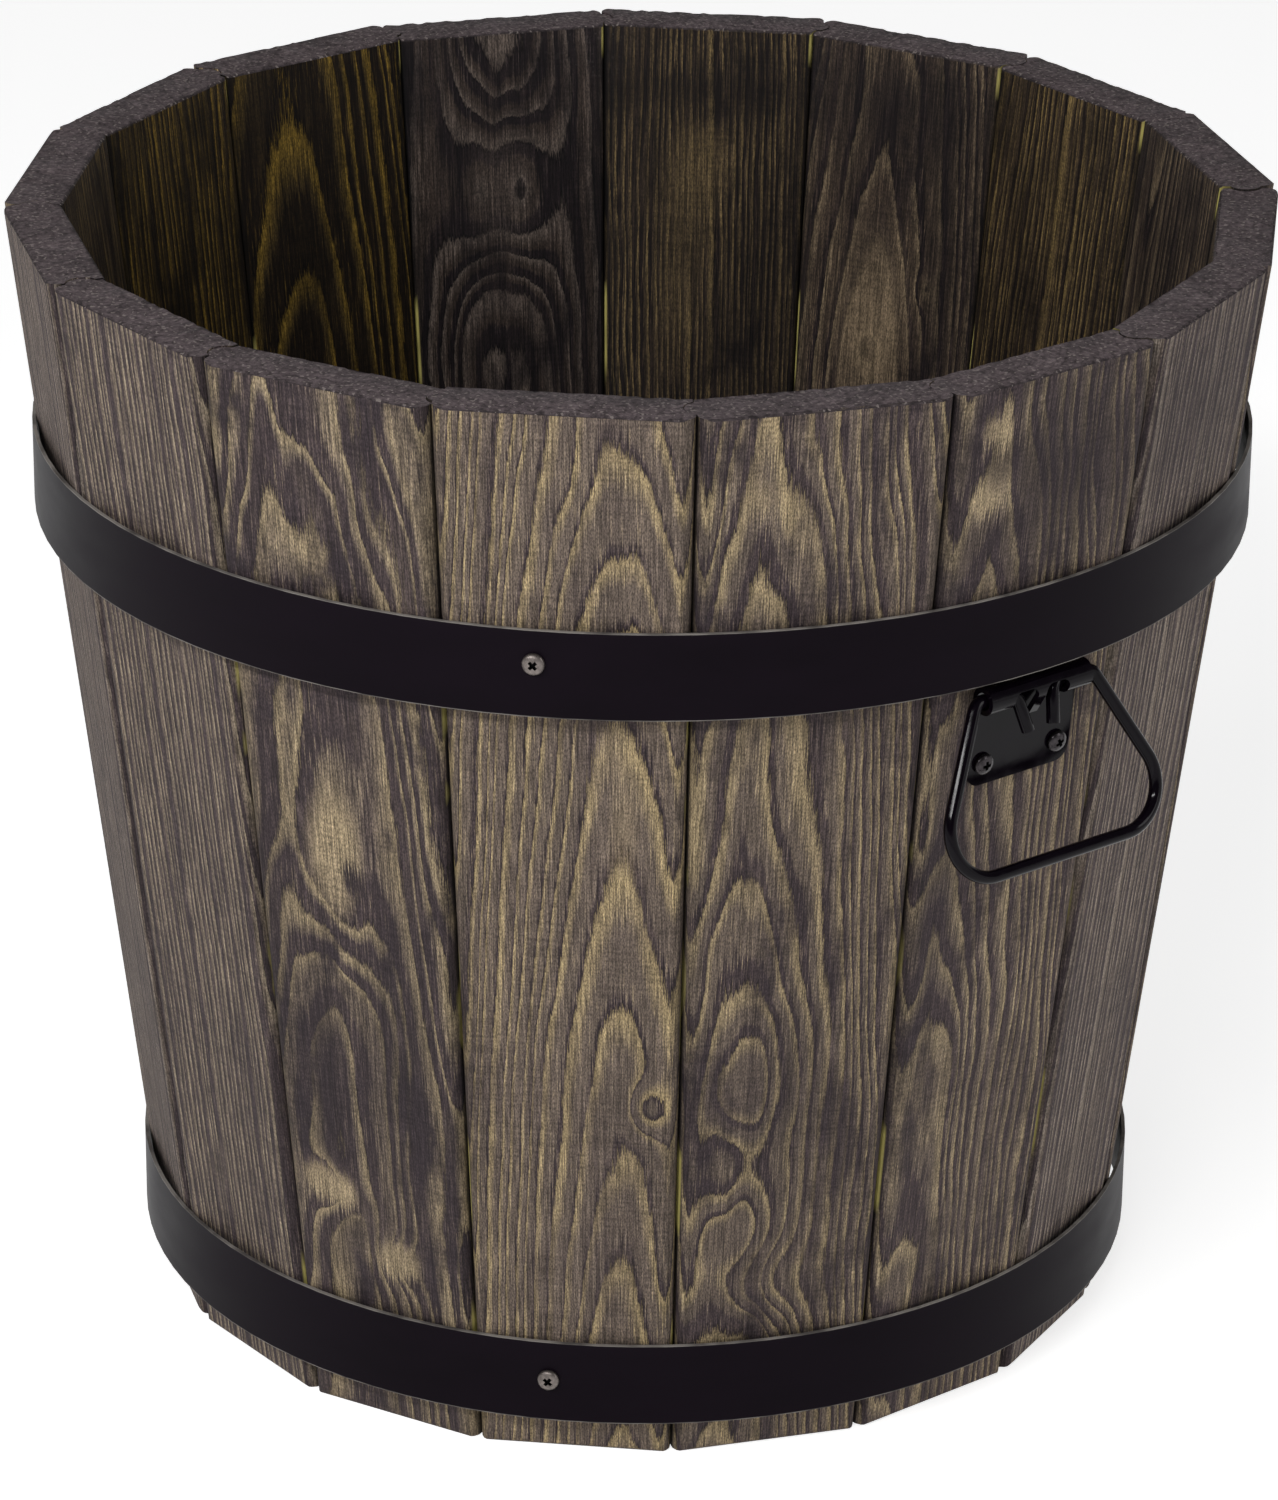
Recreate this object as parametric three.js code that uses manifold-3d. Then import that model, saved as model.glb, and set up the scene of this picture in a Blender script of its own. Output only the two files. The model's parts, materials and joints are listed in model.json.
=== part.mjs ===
// A round wooden barrel planter: sixteen tapered staves with bead-and-cove edges, a boarded
// bottom held in a groove, two flat steel hoops and two wire drop handles.
// Millimetres, +Z up. The origin is on the floor, in the middle of the barrel. One handle is
// on the stave at +X and the other is on the stave at -X.

import * as THREE from 'three';
import { mergeVertices } from 'three/addons/utils/BufferGeometryUtils.js';
import Module from 'manifold-3d';

const wasm = await Module();
wasm.setup();

// ---- Driving dimensions -------------------------------------------------------------

const barrel = {
  staves: 16,
  height: 435,
  rimFlat: 237, // from the axis to a stave's outer face, at the rim
  footFlat: 186, // the same, on the floor
};

const stave = {
  thickness: 22, // measured level, as the barrel stands
  outerRound: 5,
  innerRound: 1.4,
  endEase: 1, // the chamfer round both ends
  beadRadius: 6.5,
  beadHeight: 4, // how far the bead stands out past the joint
  beadDepth: 12.5, // from the outer face to the middle of the bead
  jointGap: 0.3,
};

const bottom = {
  boards: 5,
  thickness: 15,
  ground: 26, // from the floor to the underside of the boards
  tongue: 8, // thickness of the rebated rim that the groove holds
  grooveDepth: 6, // how far the rim runs into the staves
  fit: 0.3, // between the boards and the staves, all round
  boardGap: 0.8,
  drainRadius: 6,
  drainAside: 68, // from the middle of a board to its drain hole
};

const hoop = {
  width: 33,
  thickness: 1.4,
  clearance: 0.3, // from the staves' corners
  lap: 46, // length of the overlap of its two ends
  lapGap: 0.3,
  joggle: 9, // length of the step that lifts the outer end
  joggleGap: 1.2, // from the step to the inner end
  seamStave: 6,
  rivetSpacing: 24,
  screwStaves: [3, 9, 14],
  screwAside: -2.5, // from the middle of the stave, in degrees
};

const hoops = [
  { name: 'upper_hoop', foot: 319, screwRise: 4 },
  { name: 'lower_hoop', foot: 16.5, screwRise: 1 },
];

const screw = {
  headRadius: 4.1,
  headHeight: 2.5,
  headSide: 1, // the straight part, under the dome
  shankRadius: 2,
  pointLength: 4,
  hoopLength: 21,
  bracketLength: 16,
  seat: 0.3, // under the head
  holeClearance: 0.3,
};

const rivet = {
  headRadius: 4.2,
  headHeight: 1.8,
  shankRadius: 2.4,
  tailRadius: 3.8,
  tailHeight: 1.1,
  seat: 0.4, // under the head and over the tail, on the curve of the hoop
  holeClearance: 0.3,
};

const bracket = {
  width: 48,
  sheet: 2,
  tail: 37.5, // from the knuckle's axis down to the bottom edge
  cornerRound: 6,
  backGap: 0.3, // between the plate and the stave
  belowHoop: 2.2, // from the hoop down to the top of the knuckle
  lipAngle: 105, // how far the roll comes round under the wire, from the front
  tongueAngle: 25, // how far it has come where the tongue leaves it
  tongueLength: 8.5, // the straight part
  screwSpacing: 35,
  screwUp: 9, // from the bottom edge
  slotWidth: 11,
  slotSpacing: 14.8, // between the middles of the two slots
  slotHeadRound: 3,
};

const wire = {
  radius: 2.5,
  clearance: 0.8, // inside the knuckle
  stopGap: 0.3, // between a wire end and its slot's head, at the top of the swing
  restAngle: 24, // from the stave's face out to the loop, as the stiff knuckle holds it
  swing: 60, // from there up to the slots' heads
  legSpread: 27.9, // how far each leg leans out
  drop: 62.7, // from the hinge axis to the grip
  gripRound: 17.5,
  shoulderRound: 5,
  endGap: 0.5, // from the knuckle's end to where the wire starts to bend
  stubReach: 15.2, // from the hinge axis down to the wire's cut ends
  stubLean: 11,
  stubPlace: 8.9, // from the middle of the knuckle to a cut end's line
};

const overcut = 1; // how far a cut runs past the face that it starts from

// How many flats stand for a curve.
const flats = {
  hoop: 96,
  joggle: 6,
  lap: 4,
  drain: 24,
  fastener: 12,
  dome: 3,
  edgeRound: 4,
  beadRound: 6,
  innerRound: 2,
  knuckle: 5,
  corner: 3,
  wire: 5,
  wireBend: 7,
};

// ---- Finishes -----------------------------------------------------------------------

const charredPine = { color: 0x4f473d, roughness: 0.75, metalness: 0 };
const rawPine = { color: 0x6b5a42, roughness: 0.8, metalness: 0 };
const blackSteel = { color: 0x1b191c, roughness: 0.38, metalness: 0.3 };
const glossSteel = { color: 0x121116, roughness: 0.2, metalness: 0.3 };
const darkZinc = { color: 0x6a6360, roughness: 0.35, metalness: 0.9 };

// ---- Sizes that follow from the driving dimensions ------------------------------------

const radians = THREE.MathUtils.degToRad;
const pitch = 360 / barrel.staves;
const halfPitch = radians(pitch / 2);
const cornerSetBack = stave.outerRound / Math.tan((Math.PI / 2 - halfPitch) / 2);
const slope = (barrel.rimFlat - barrel.footFlat) / barrel.height;
const lean = Math.atan(slope);

/** From the axis to a stave's outer face, at one height. */
function flatAt(height) {
  return barrel.footFlat + slope * height;
}

/** From the axis to the furthest point of the staves' rounded corners, at one height. */
function cornerAt(height) {
  const across = flatAt(height) - stave.outerRound;
  const along = flatAt(height) * Math.tan(halfPitch) - cornerSetBack;
  return Math.hypot(across, along) + stave.outerRound;
}

// ---- Working tools --------------------------------------------------------------------

/** A geometry as a closed solid, to cut and join. */
function solid(geometry) {
  const bare = geometry.clone();
  bare.deleteAttribute('normal');
  bare.deleteAttribute('uv');
  const merged = mergeVertices(bare, 1e-4);
  const vertProperties = new Float32Array(merged.attributes.position.array);
  const triVerts = new Uint32Array(merged.index.array);
  return new wasm.Manifold(new wasm.Mesh({ numProp: 3, vertProperties, triVerts }));
}

/** A solid back as a geometry. */
function shell(body) {
  const { vertProperties, triVerts } = body.getMesh();
  const geometry = new THREE.BufferGeometry();
  geometry.setAttribute('position', new THREE.BufferAttribute(vertProperties, 3));
  geometry.setIndex(new THREE.BufferAttribute(triVerts, 1));
  geometry.computeVertexNormals();
  return geometry;
}

function cutAll(body, tools) {
  return tools.reduce((left, tool) => left.subtract(solid(tool)), body);
}

function piece(name, geometry, finish) {
  const mesh = new THREE.Mesh(geometry, new THREE.MeshStandardMaterial(finish));
  mesh.name = name;
  return mesh;
}

/** A group turned about the barrel's axis, in degrees from +X. */
function atBearing(degrees, ...members) {
  const group = new THREE.Group();
  group.rotation.z = radians(degrees);
  return group.add(...members);
}

/** A cylinder along +X, between two distances. */
function rod(radius, from, to) {
  const cylinder = new THREE.CylinderGeometry(radius, radius, to - from, flats.fastener);
  return cylinder.rotateZ(-Math.PI / 2).translate((from + to) / 2, 0, 0);
}

/** A flat round disc on the barrel's axis. */
function disc(radius, foot, thickness, sides) {
  const cylinder = new THREE.CylinderGeometry(radius, radius, thickness, sides);
  return cylinder.rotateX(Math.PI / 2).translate(0, 0, foot + thickness / 2);
}

/** Turns a profile of radius and height, with its axis laid along +X. */
function turned(profile) {
  const points = profile.getPoints(flats.dome);
  return new THREE.LatheGeometry(points, flats.fastener).rotateZ(-Math.PI / 2);
}

/** The points of an arc, with both of its ends. */
function arc(middle, radius, from, to, steps) {
  return spread(from, to, steps).map((angle) => (
    new THREE.Vector2(Math.cos(angle), Math.sin(angle)).multiplyScalar(radius).add(middle)));
}

/** Evenly spread values from one to another, with both ends. */
function spread(from, to, steps) {
  return Array.from({ length: steps + 1 }, (_, i) => THREE.MathUtils.lerp(from, to, i / steps));
}

/** Extrudes a drawing of X and Z along Y, to both sides of the middle. */
function sideways(drawing, width, curveSegments) {
  const settings = { depth: width, bevelEnabled: false, curveSegments };
  const geometry = new THREE.ExtrudeGeometry(drawing, settings);
  return geometry.rotateX(Math.PI / 2).translate(0, width / 2, 0);
}

/** Extrudes a drawing of Y and Z along X, from the middle outwards. */
function outwards(drawing, depth, curveSegments) {
  const settings = { depth, bevelEnabled: false, curveSegments };
  const geometry = new THREE.ExtrudeGeometry(drawing, settings);
  return geometry.rotateX(Math.PI / 2).rotateZ(Math.PI / 2);
}

/** An upright panel with one radius on its bottom corners and one on its top corners. */
function roundedPanel(halfWidth, foot, head, footRound, headRound) {
  const quarter = Math.PI / 2;
  const panel = new THREE.Shape();
  panel.moveTo(-halfWidth, head - headRound);
  panel.absarc(footRound - halfWidth, foot + footRound, footRound, 2 * quarter, 3 * quarter);
  panel.absarc(halfWidth - footRound, foot + footRound, footRound, 3 * quarter, 4 * quarter);
  panel.absarc(halfWidth - headRound, head - headRound, headRound, 0, quarter);
  panel.absarc(headRound - halfWidth, head - headRound, headRound, quarter, 2 * quarter);
  return panel;
}

/** An arc that turns from one direction to another. */
class Bend extends THREE.Curve {
  constructor(start, before, after, radius) {
    super();
    this.hinge = before.clone().cross(after).normalize();
    this.turn = before.angleTo(after);
    this.arm = before.clone().cross(this.hinge).multiplyScalar(radius);
    this.centre = start.clone().sub(this.arm);
  }

  getPoint(t) {
    return this.arm.clone().applyAxisAngle(this.hinge, this.turn * t).add(this.centre);
  }
}

/** Straight runs joined by arcs. Its rings stand at the ends of each run and along each arc. */
class BentWire extends THREE.CurvePath {
  constructor(corners, ringsPerBend) {
    super();
    const last = corners.length - 1;
    let from = corners[0].at;
    for (let i = 1; i < last; i += 1) {
      const { at, round } = corners[i];
      const before = at.clone().sub(corners[i - 1].at).normalize();
      const after = corners[i + 1].at.clone().sub(at).normalize();
      const setBack = round * Math.tan(before.angleTo(after) / 2);
      const start = at.clone().addScaledVector(before, -setBack);
      this.add(new THREE.LineCurve3(from, start));
      this.add(new Bend(start, before, after, round));
      from = at.clone().addScaledVector(after, setBack);
    }
    this.add(new THREE.LineCurve3(from, corners[last].at));
    this.stations = this.ringStations(ringsPerBend);
  }

  /** The rings' places, as shares of the whole length. */
  ringStations(ringsPerBend) {
    const ends = this.getCurveLengths();
    const whole = ends.at(-1);
    const stations = [0];
    ends.forEach((end, i) => {
      const begin = i ? ends[i - 1] : 0;
      const steps = this.curves[i] instanceof Bend ? ringsPerBend : 1;
      for (let k = 1; k <= steps; k += 1) {
        stations.push((begin + (end - begin) * k / steps) / whole);
      }
    });
    return stations;
  }

  getUtoTmapping(u) {
    const place = u * (this.stations.length - 1);
    const i = Math.min(Math.floor(place), this.stations.length - 2);
    return THREE.MathUtils.lerp(this.stations[i], this.stations[i + 1], place - i);
  }
}

// ---- Staves -----------------------------------------------------------------------------

/**
 * One edge of a stave, in its level section at the floor. Side 1 has the cove and side -1
 * the bead. Depth runs inwards along the joint from the outer face, and out is square to it.
 */
function staveEdge(side) {
  const inward = new THREE.Vector2(-Math.cos(halfPitch), -side * Math.sin(halfPitch));
  const outward = new THREE.Vector2(-Math.sin(halfPitch), side * Math.cos(halfPitch));
  const corner = new THREE.Vector2(1, side * Math.tan(halfPitch)).multiplyScalar(barrel.footFlat);
  const at = (depth, out) => {
    const along = inward.clone().multiplyScalar(depth);
    return corner.clone().add(along).addScaledVector(outward, out);
  };
  return { at, bearing: outward.angle() };
}

/** The level section of a stave at the floor: X away from the axis, Y round the barrel. */
function staveSection() {
  const { outerRound, innerRound, beadRadius, thickness } = stave;
  const cove = staveEdge(1);
  const bead = staveEdge(-1);
  const shoulder = -stave.jointGap / 2;
  const sunk = beadRadius - stave.beadHeight;
  const coveRadius = beadRadius + stave.jointGap;
  const beadDepth = stave.beadDepth / Math.cos(halfPitch);
  const innerSetBack = innerRound / Math.tan((Math.PI / 2 + halfPitch) / 2);
  const innerDepth = thickness / Math.cos(halfPitch) - innerSetBack;

  const outerCove = cove.at(cornerSetBack, shoulder - outerRound);
  const coveMiddle = cove.at(beadDepth, sunk);
  const innerCove = cove.at(innerDepth, shoulder - innerRound);
  const innerBead = bead.at(innerDepth, shoulder - innerRound);
  const beadMiddle = bead.at(beadDepth, -sunk);
  const outerBead = bead.at(cornerSetBack, shoulder - outerRound);
  const coveHalf = Math.acos((sunk - shoulder) / coveRadius);
  const beadHalf = Math.acos((sunk + shoulder) / beadRadius);
  const intoCove = cove.bearing + Math.PI;

  const round = flats.edgeRound;
  return new THREE.Shape([
    ...arc(outerCove, outerRound, 0, cove.bearing, round),
    ...arc(coveMiddle, coveRadius, intoCove + coveHalf, intoCove - coveHalf, flats.beadRound),
    ...arc(innerCove, innerRound, cove.bearing, Math.PI, flats.innerRound),
    ...arc(innerBead, innerRound, Math.PI, bead.bearing, flats.innerRound),
    ...arc(beadMiddle, beadRadius, bead.bearing - beadHalf, bead.bearing + beadHalf, flats.beadRound),
    ...arc(outerBead, outerRound, bead.bearing, 2 * Math.PI, round),
  ]);
}

/** Leans and widens a straight extrusion towards the rim, so that its edges stay on the joints. */
function taper(geometry) {
  const position = geometry.attributes.position;
  for (let i = 0; i < position.count; i += 1) {
    const widening = slope * position.getZ(i);
    const aside = Math.sign(position.getY(i)) * Math.tan(halfPitch);
    position.setX(i, position.getX(i) + widening);
    position.setY(i, position.getY(i) + aside * widening);
  }
  return geometry;
}

/** From the axis to a stave's inner face, at one height. */
function innerFlatAt(height) {
  return flatAt(height) - stave.thickness;
}

function grooveRadius() {
  return innerFlatAt(bottom.ground + bottom.tongue / 2) + bottom.grooveDepth;
}

/** Square bars set cornerwise along the four long edges of a stave's ends, to chamfer them. */
function endEasings() {
  const side = 4 * stave.endEase;
  const shift = (side / 2 - stave.endEase / Math.SQRT2) / Math.SQRT2;
  const bar = new THREE.BoxGeometry(side, barrel.rimFlat, side).rotateY(Math.PI / 4);
  const ends = [
    { height: 0, outer: barrel.footFlat, up: -1 },
    { height: barrel.height, outer: barrel.rimFlat, up: 1 },
  ];
  return ends.flatMap(({ height, outer, up }) => [
    bar.clone().translate(outer + shift, 0, height + up * shift),
    bar.clone().translate(outer - stave.thickness - shift, 0, height + up * shift),
  ]);
}

/** A stave with the groove for the bottom, before any screw hole is drilled. */
function plainStave() {
  const settings = { depth: barrel.height, bevelEnabled: false };
  const board = taper(new THREE.ExtrudeGeometry(staveSection(), settings));
  const height = bottom.tongue + 2 * bottom.fit;
  const groove = disc(grooveRadius(), bottom.ground - bottom.fit, height, flats.hoop);
  return cutAll(solid(board), [groove, ...endEasings()]);
}

/** The screw holes in one stave, in the stave's own frame. */
function pilotHoles(index) {
  const hoopHoles = hoop.screwStaves.includes(index)
    ? hoops.map((ring) => onHoop(screwHole(screw.hoopLength), ring, hoop.screwAside))
    : [];
  const bracketHoles = handles.some(({ staveIndex }) => staveIndex === index)
    ? bracketScrewPlaces().map((place) => onFace(bracketHole(place)))
    : [];
  return [...hoopHoles, ...bracketHoles];
}

function staveNodes() {
  const plain = plainStave();
  return Array.from({ length: barrel.staves }, (_, index) => {
    const number = String(index + 1).padStart(2, '0');
    const geometry = shell(cutAll(plain, pilotHoles(index)));
    return atBearing(index * pitch, piece(`stave_${number}`, geometry, charredPine));
  });
}

// ---- Bottom -----------------------------------------------------------------------------

/** The drain holes along one board, counted from the middle board: one there, two beside it. */
function drainPlaces(boardsAway) {
  if (boardsAway === 0) return [0];
  return boardsAway === 1 ? [-bottom.drainAside, bottom.drainAside] : [];
}

function bottomNodes() {
  const { boards, boardGap, fit, ground, thickness, tongue } = bottom;
  const radius = grooveRadius() - fit;
  const width = (2 * radius - (boards - 1) * boardGap) / boards;
  const shoulder = innerFlatAt(ground + tongue + fit) - fit;
  const rim = solid(disc(radius, ground, tongue, flats.hoop));
  const round = rim.add(solid(disc(shoulder, ground, thickness, flats.hoop)));
  const drill = disc(bottom.drainRadius, ground - overcut, thickness + 2 * overcut, flats.drain);

  return Array.from({ length: boards }, (_, index) => {
    const step = index - (boards - 1) / 2;
    const middle = step * (width + boardGap);
    const plank = new THREE.BoxGeometry(2 * (radius + overcut), width, thickness + 2 * overcut);
    plank.translate(0, middle, ground + thickness / 2);
    const holes = drainPlaces(Math.abs(step)).map((aside) => drill.clone().translate(aside, middle, 0));
    const board = cutAll(round.intersect(solid(plank)), holes);
    return piece(`bottom_board_${index + 1}`, shell(board), rawPine);
  });
}

// ---- Screws -----------------------------------------------------------------------------

/** A pan-head screw along X, with the underside of its head at the origin. */
function screwGeometry(length) {
  const { headRadius, headHeight, headSide, shankRadius } = screw;
  const profile = new THREE.Path();
  profile.moveTo(0, -length);
  profile.lineTo(shankRadius, screw.pointLength - length);
  profile.lineTo(shankRadius, 0);
  profile.lineTo(headRadius, 0);
  profile.lineTo(headRadius, headSide);
  profile.quadraticCurveTo(headRadius, headHeight, 0, headHeight);
  return turned(profile);
}

/** The hole for a screw of one length, from just above the seat of its head. */
function screwHole(length) {
  return rod(screw.shankRadius + screw.holeClearance, -length - screw.holeClearance, overcut);
}

// ---- Hoops ------------------------------------------------------------------------------

function hoopInside(ring) {
  return cornerAt(ring.foot + hoop.width) + hoop.clearance;
}

/** A geometry on +X, moved to where a screw stands on a hoop. */
function onHoop(geometry, ring, bearing) {
  const out = hoopInside(ring) + hoop.thickness + screw.seat;
  const height = ring.foot + hoop.width / 2 + ring.screwRise;
  return geometry.translate(out, 0, height).rotateZ(radians(bearing));
}

/** The plan of a hoop. Its outer end steps out and laps over its inner end. */
function hoopPlan(inside) {
  const fullTurn = 2 * Math.PI;
  const seam = radians(hoop.seamStave * pitch);
  const halfLap = hoop.lap / 2 / inside;
  const start = seam - halfLap;
  const stepEnd = start + fullTurn - hoop.joggleGap / inside;
  const stepStart = stepEnd - hoop.joggle / inside;
  const end = seam + halfLap + fullTurn;
  const bearings = [
    ...spread(start, stepStart, flats.hoop),
    ...spread(stepStart, stepEnd, flats.joggle).slice(1),
    ...spread(stepEnd, end, flats.lap).slice(1),
  ];
  const edge = (offset) => bearings.map((bearing) => {
    const risen = THREE.MathUtils.smoothstep(bearing, stepStart, stepEnd);
    const radius = inside + offset + risen * (hoop.thickness + hoop.lapGap);
    return new THREE.Vector2(radius * Math.cos(bearing), radius * Math.sin(bearing));
  });
  return new THREE.Shape([...edge(hoop.thickness), ...edge(0).reverse()]);
}

/** A rivet along X, with the outside of the lapped hoop at the origin. */
function rivetGeometry() {
  const { headRadius, headHeight, shankRadius, tailRadius, tailHeight, seat } = rivet;
  const tailSeat = -2 * hoop.thickness - hoop.lapGap - seat;
  const profile = new THREE.Path();
  profile.moveTo(0, tailSeat - tailHeight);
  profile.lineTo(tailRadius, tailSeat - tailHeight);
  profile.lineTo(tailRadius, tailSeat);
  profile.lineTo(shankRadius, tailSeat);
  profile.lineTo(shankRadius, seat);
  profile.lineTo(headRadius, seat);
  profile.quadraticCurveTo(headRadius, seat + headHeight, 0, seat + headHeight);
  return turned(profile);
}

function hoopNodes(ring) {
  const inside = hoopInside(ring);
  const lapOutside = inside + 2 * hoop.thickness + hoop.lapGap;
  const middle = ring.foot + hoop.width / 2;
  const aside = THREE.MathUtils.radToDeg(hoop.rivetSpacing / 2 / inside);
  const rivetBearings = [-aside, aside].map((turn) => hoop.seamStave * pitch + turn);
  const screwBearings = hoop.screwStaves.map((index) => index * pitch + hoop.screwAside);

  const settings = { depth: hoop.width, bevelEnabled: false };
  const band = new THREE.ExtrudeGeometry(hoopPlan(inside), settings).translate(0, 0, ring.foot);
  const punch = rod(rivet.shankRadius + rivet.holeClearance, inside - overcut, lapOutside + overcut);
  punch.translate(0, 0, middle);
  const body = cutAll(solid(band), [
    ...screwBearings.map((bearing) => onHoop(screwHole(screw.hoopLength), ring, bearing)),
    ...rivetBearings.map((bearing) => punch.clone().rotateZ(radians(bearing))),
  ]);

  const screws = screwBearings.map((bearing, i) => {
    const geometry = onHoop(screwGeometry(screw.hoopLength), ring, bearing);
    return piece(`${ring.name}_screw_${i + 1}`, geometry, darkZinc);
  });
  const rivets = rivetBearings.map((bearing, i) => {
    const made = piece(`${ring.name}_rivet_${i + 1}`, rivetGeometry(), blackSteel);
    made.position.set(lapOutside, 0, middle);
    return atBearing(bearing, made);
  });
  return [piece(ring.name, shell(body), blackSteel), ...screws, ...rivets];
}

// ---- Handles ----------------------------------------------------------------------------
// A handle is drawn on its stave's face: X away from the wood, Y round the barrel and Z up the
// stave, with the origin at the foot of the face.

const handles = [
  { name: 'right_handle', staveIndex: 0 },
  { name: 'left_handle', staveIndex: barrel.staves / 2 },
];
const knuckleInside = wire.radius + wire.clearance;
const knuckleOutside = knuckleInside + bracket.sheet;
const hingeOut = bracket.backGap + knuckleOutside;
const hingeLevel = hoops[0].foot - bracket.belowHoop - knuckleOutside;
const hingeUp = (hingeLevel + hingeOut * Math.sin(lean)) / Math.cos(lean);
const plateFoot = hingeUp - bracket.tail;

/** A geometry drawn on a stave's face, in the stave's own frame. */
function onFace(geometry) {
  return geometry.rotateY(lean).translate(barrel.footFlat, 0, 0);
}

/**
 * The section of the sheet: up the stave and over the wire. From there the roll goes on round
 * under the wire, and the tongue hangs straight down.
 */
function bracketSection(isTongue) {
  const leave = -radians(bracket.tongueAngle);
  const section = new THREE.Shape();
  section.moveTo(bracket.backGap + bracket.sheet, plateFoot);
  section.absarc(hingeOut, hingeUp, knuckleInside, Math.PI, leave, true);
  if (isTongue) {
    const end = new THREE.Vector2(hingeOut, hingeUp);
    end.add(new THREE.Vector2(Math.sin(leave), -Math.cos(leave)).multiplyScalar(bracket.tongueLength));
    [knuckleInside, knuckleOutside].forEach((radius) => {
      section.lineTo(end.x + radius * Math.cos(leave), end.y + radius * Math.sin(leave));
    });
  } else {
    const lip = -radians(bracket.lipAngle);
    section.absarc(hingeOut, hingeUp, knuckleInside, leave, lip, true);
    section.absarc(hingeOut, hingeUp, knuckleOutside, lip, leave);
  }
  section.absarc(hingeOut, hingeUp, knuckleOutside, leave, Math.PI);
  section.lineTo(bracket.backGap, plateFoot);
  return section;
}

/** The slot that one wire end swings in. Its head stops the wire, and it is open at the lip. */
function slotTool(side) {
  const { slotWidth, slotHeadRound } = bracket;
  const head = wire.radius + wire.stopGap;
  const foot = -1.5 * knuckleOutside;
  const panel = roundedPanel(slotWidth / 2, foot, head, slotHeadRound, slotHeadRound);
  return outwards(panel, 2 * knuckleOutside, flats.corner)
    .translate(-knuckleInside / 2, 0, 0)
    .rotateY(radians(90 - wire.restAngle - wire.swing))
    .translate(hingeOut, side * bracket.slotSpacing / 2, hingeUp);
}

/** What is taken from the roll behind the tongue, from one slot to the other. */
function tongueTool() {
  const reach = knuckleOutside + overcut / 2;
  const block = new THREE.BoxGeometry(reach, bracket.slotSpacing, reach);
  return block
    .translate(reach / 2, 0, -reach / 2)
    .rotateY(radians(bracket.tongueAngle))
    .translate(hingeOut, 0, hingeUp);
}

function bracketScrewPlaces() {
  const out = bracket.backGap + bracket.sheet + screw.seat;
  const up = plateFoot + bracket.screwUp;
  return [-1, 1].map((side) => new THREE.Vector3(out, side * bracket.screwSpacing / 2, up));
}

function bracketHole(place) {
  return screwHole(screw.bracketLength).translate(place.x, place.y, place.z);
}

function bracketGeometry() {
  const { width, cornerRound } = bracket;
  const head = hingeUp + 2 * knuckleOutside;
  const outline = roundedPanel(width / 2, plateFoot, head, cornerRound, cornerRound);
  const rolled = solid(sideways(bracketSection(false), width + 2 * overcut, flats.knuckle));
  const opened = cutAll(rolled, [slotTool(-1), slotTool(1), tongueTool()]);
  const tongueWidth = bracket.slotSpacing - bracket.slotWidth;
  const tongue = solid(sideways(bracketSection(true), tongueWidth, flats.knuckle));
  const panel = solid(outwards(outline, 4 * knuckleOutside, flats.corner));
  const sheet = opened.add(tongue).intersect(panel);
  return shell(cutAll(sheet, bracketScrewPlaces().map(bracketHole)));
}

/** The corners of the bent wire, from one cut end round the loop to the other. */
function wireCorners() {
  const spreadAngle = radians(wire.legSpread);
  const bendSetBack = wire.shoulderRound * Math.tan((Math.PI / 2 - spreadAngle) / 2);
  const shoulder = bracket.width / 2 + wire.endGap + bendSetBack;
  const tip = wire.stubPlace - wire.stubReach * Math.tan(radians(wire.stubLean));
  const half = [
    { across: tip, down: wire.stubReach, round: 0 },
    { across: wire.stubPlace, down: 0, round: wire.shoulderRound },
    { across: shoulder, down: 0, round: wire.shoulderRound },
    { across: shoulder + wire.drop * Math.tan(spreadAngle), down: wire.drop, round: wire.gripRound },
  ];
  const otherHalf = half.map((corner) => ({ ...corner, across: -corner.across })).reverse();
  return [...half, ...otherHalf].map(({ across, down, round }) => (
    { at: new THREE.Vector3(0, across, -down), round }));
}

function wireGeometry() {
  const line = new BentWire(wireCorners(), flats.wireBend);
  const section = new THREE.Shape().absarc(0, 0, wire.radius, 0, 2 * Math.PI);
  return new THREE.ExtrudeGeometry(section, {
    extrudePath: line,
    steps: line.stations.length - 1,
    curveSegments: flats.wire,
    bevelEnabled: false,
  });
}

function handleNodes({ name, staveIndex }) {
  const plate = piece(`${name}_bracket`, bracketGeometry(), glossSteel);
  const loop = piece(`${name}_loop`, wireGeometry(), glossSteel);
  loop.position.set(hingeOut, 0, hingeUp);
  loop.rotation.y = -radians(wire.restAngle);
  const screws = bracketScrewPlaces().map((place, i) => {
    const made = piece(`${name}_screw_${i + 1}`, screwGeometry(screw.bracketLength), darkZinc);
    made.position.copy(place);
    return made;
  });
  const face = new THREE.Group();
  face.position.x = barrel.footFlat;
  face.rotation.y = lean;
  face.add(plate, loop, ...screws);
  return atBearing(staveIndex * pitch, face);
}

// ---- The whole planter --------------------------------------------------------------------

const planter = new THREE.Group();
planter.add(...staveNodes());
planter.add(...bottomNodes());
planter.add(...hoops.flatMap(hoopNodes));
planter.add(...handles.map(handleNodes));

export default planter;
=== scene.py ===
"""The look of a wooden barrel planter: stained pine staves, black steel hoops and drop handles."""

import json
import math
import random
from dataclasses import dataclass

import bmesh
import bpy
from mathutils import Matrix, Vector

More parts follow.
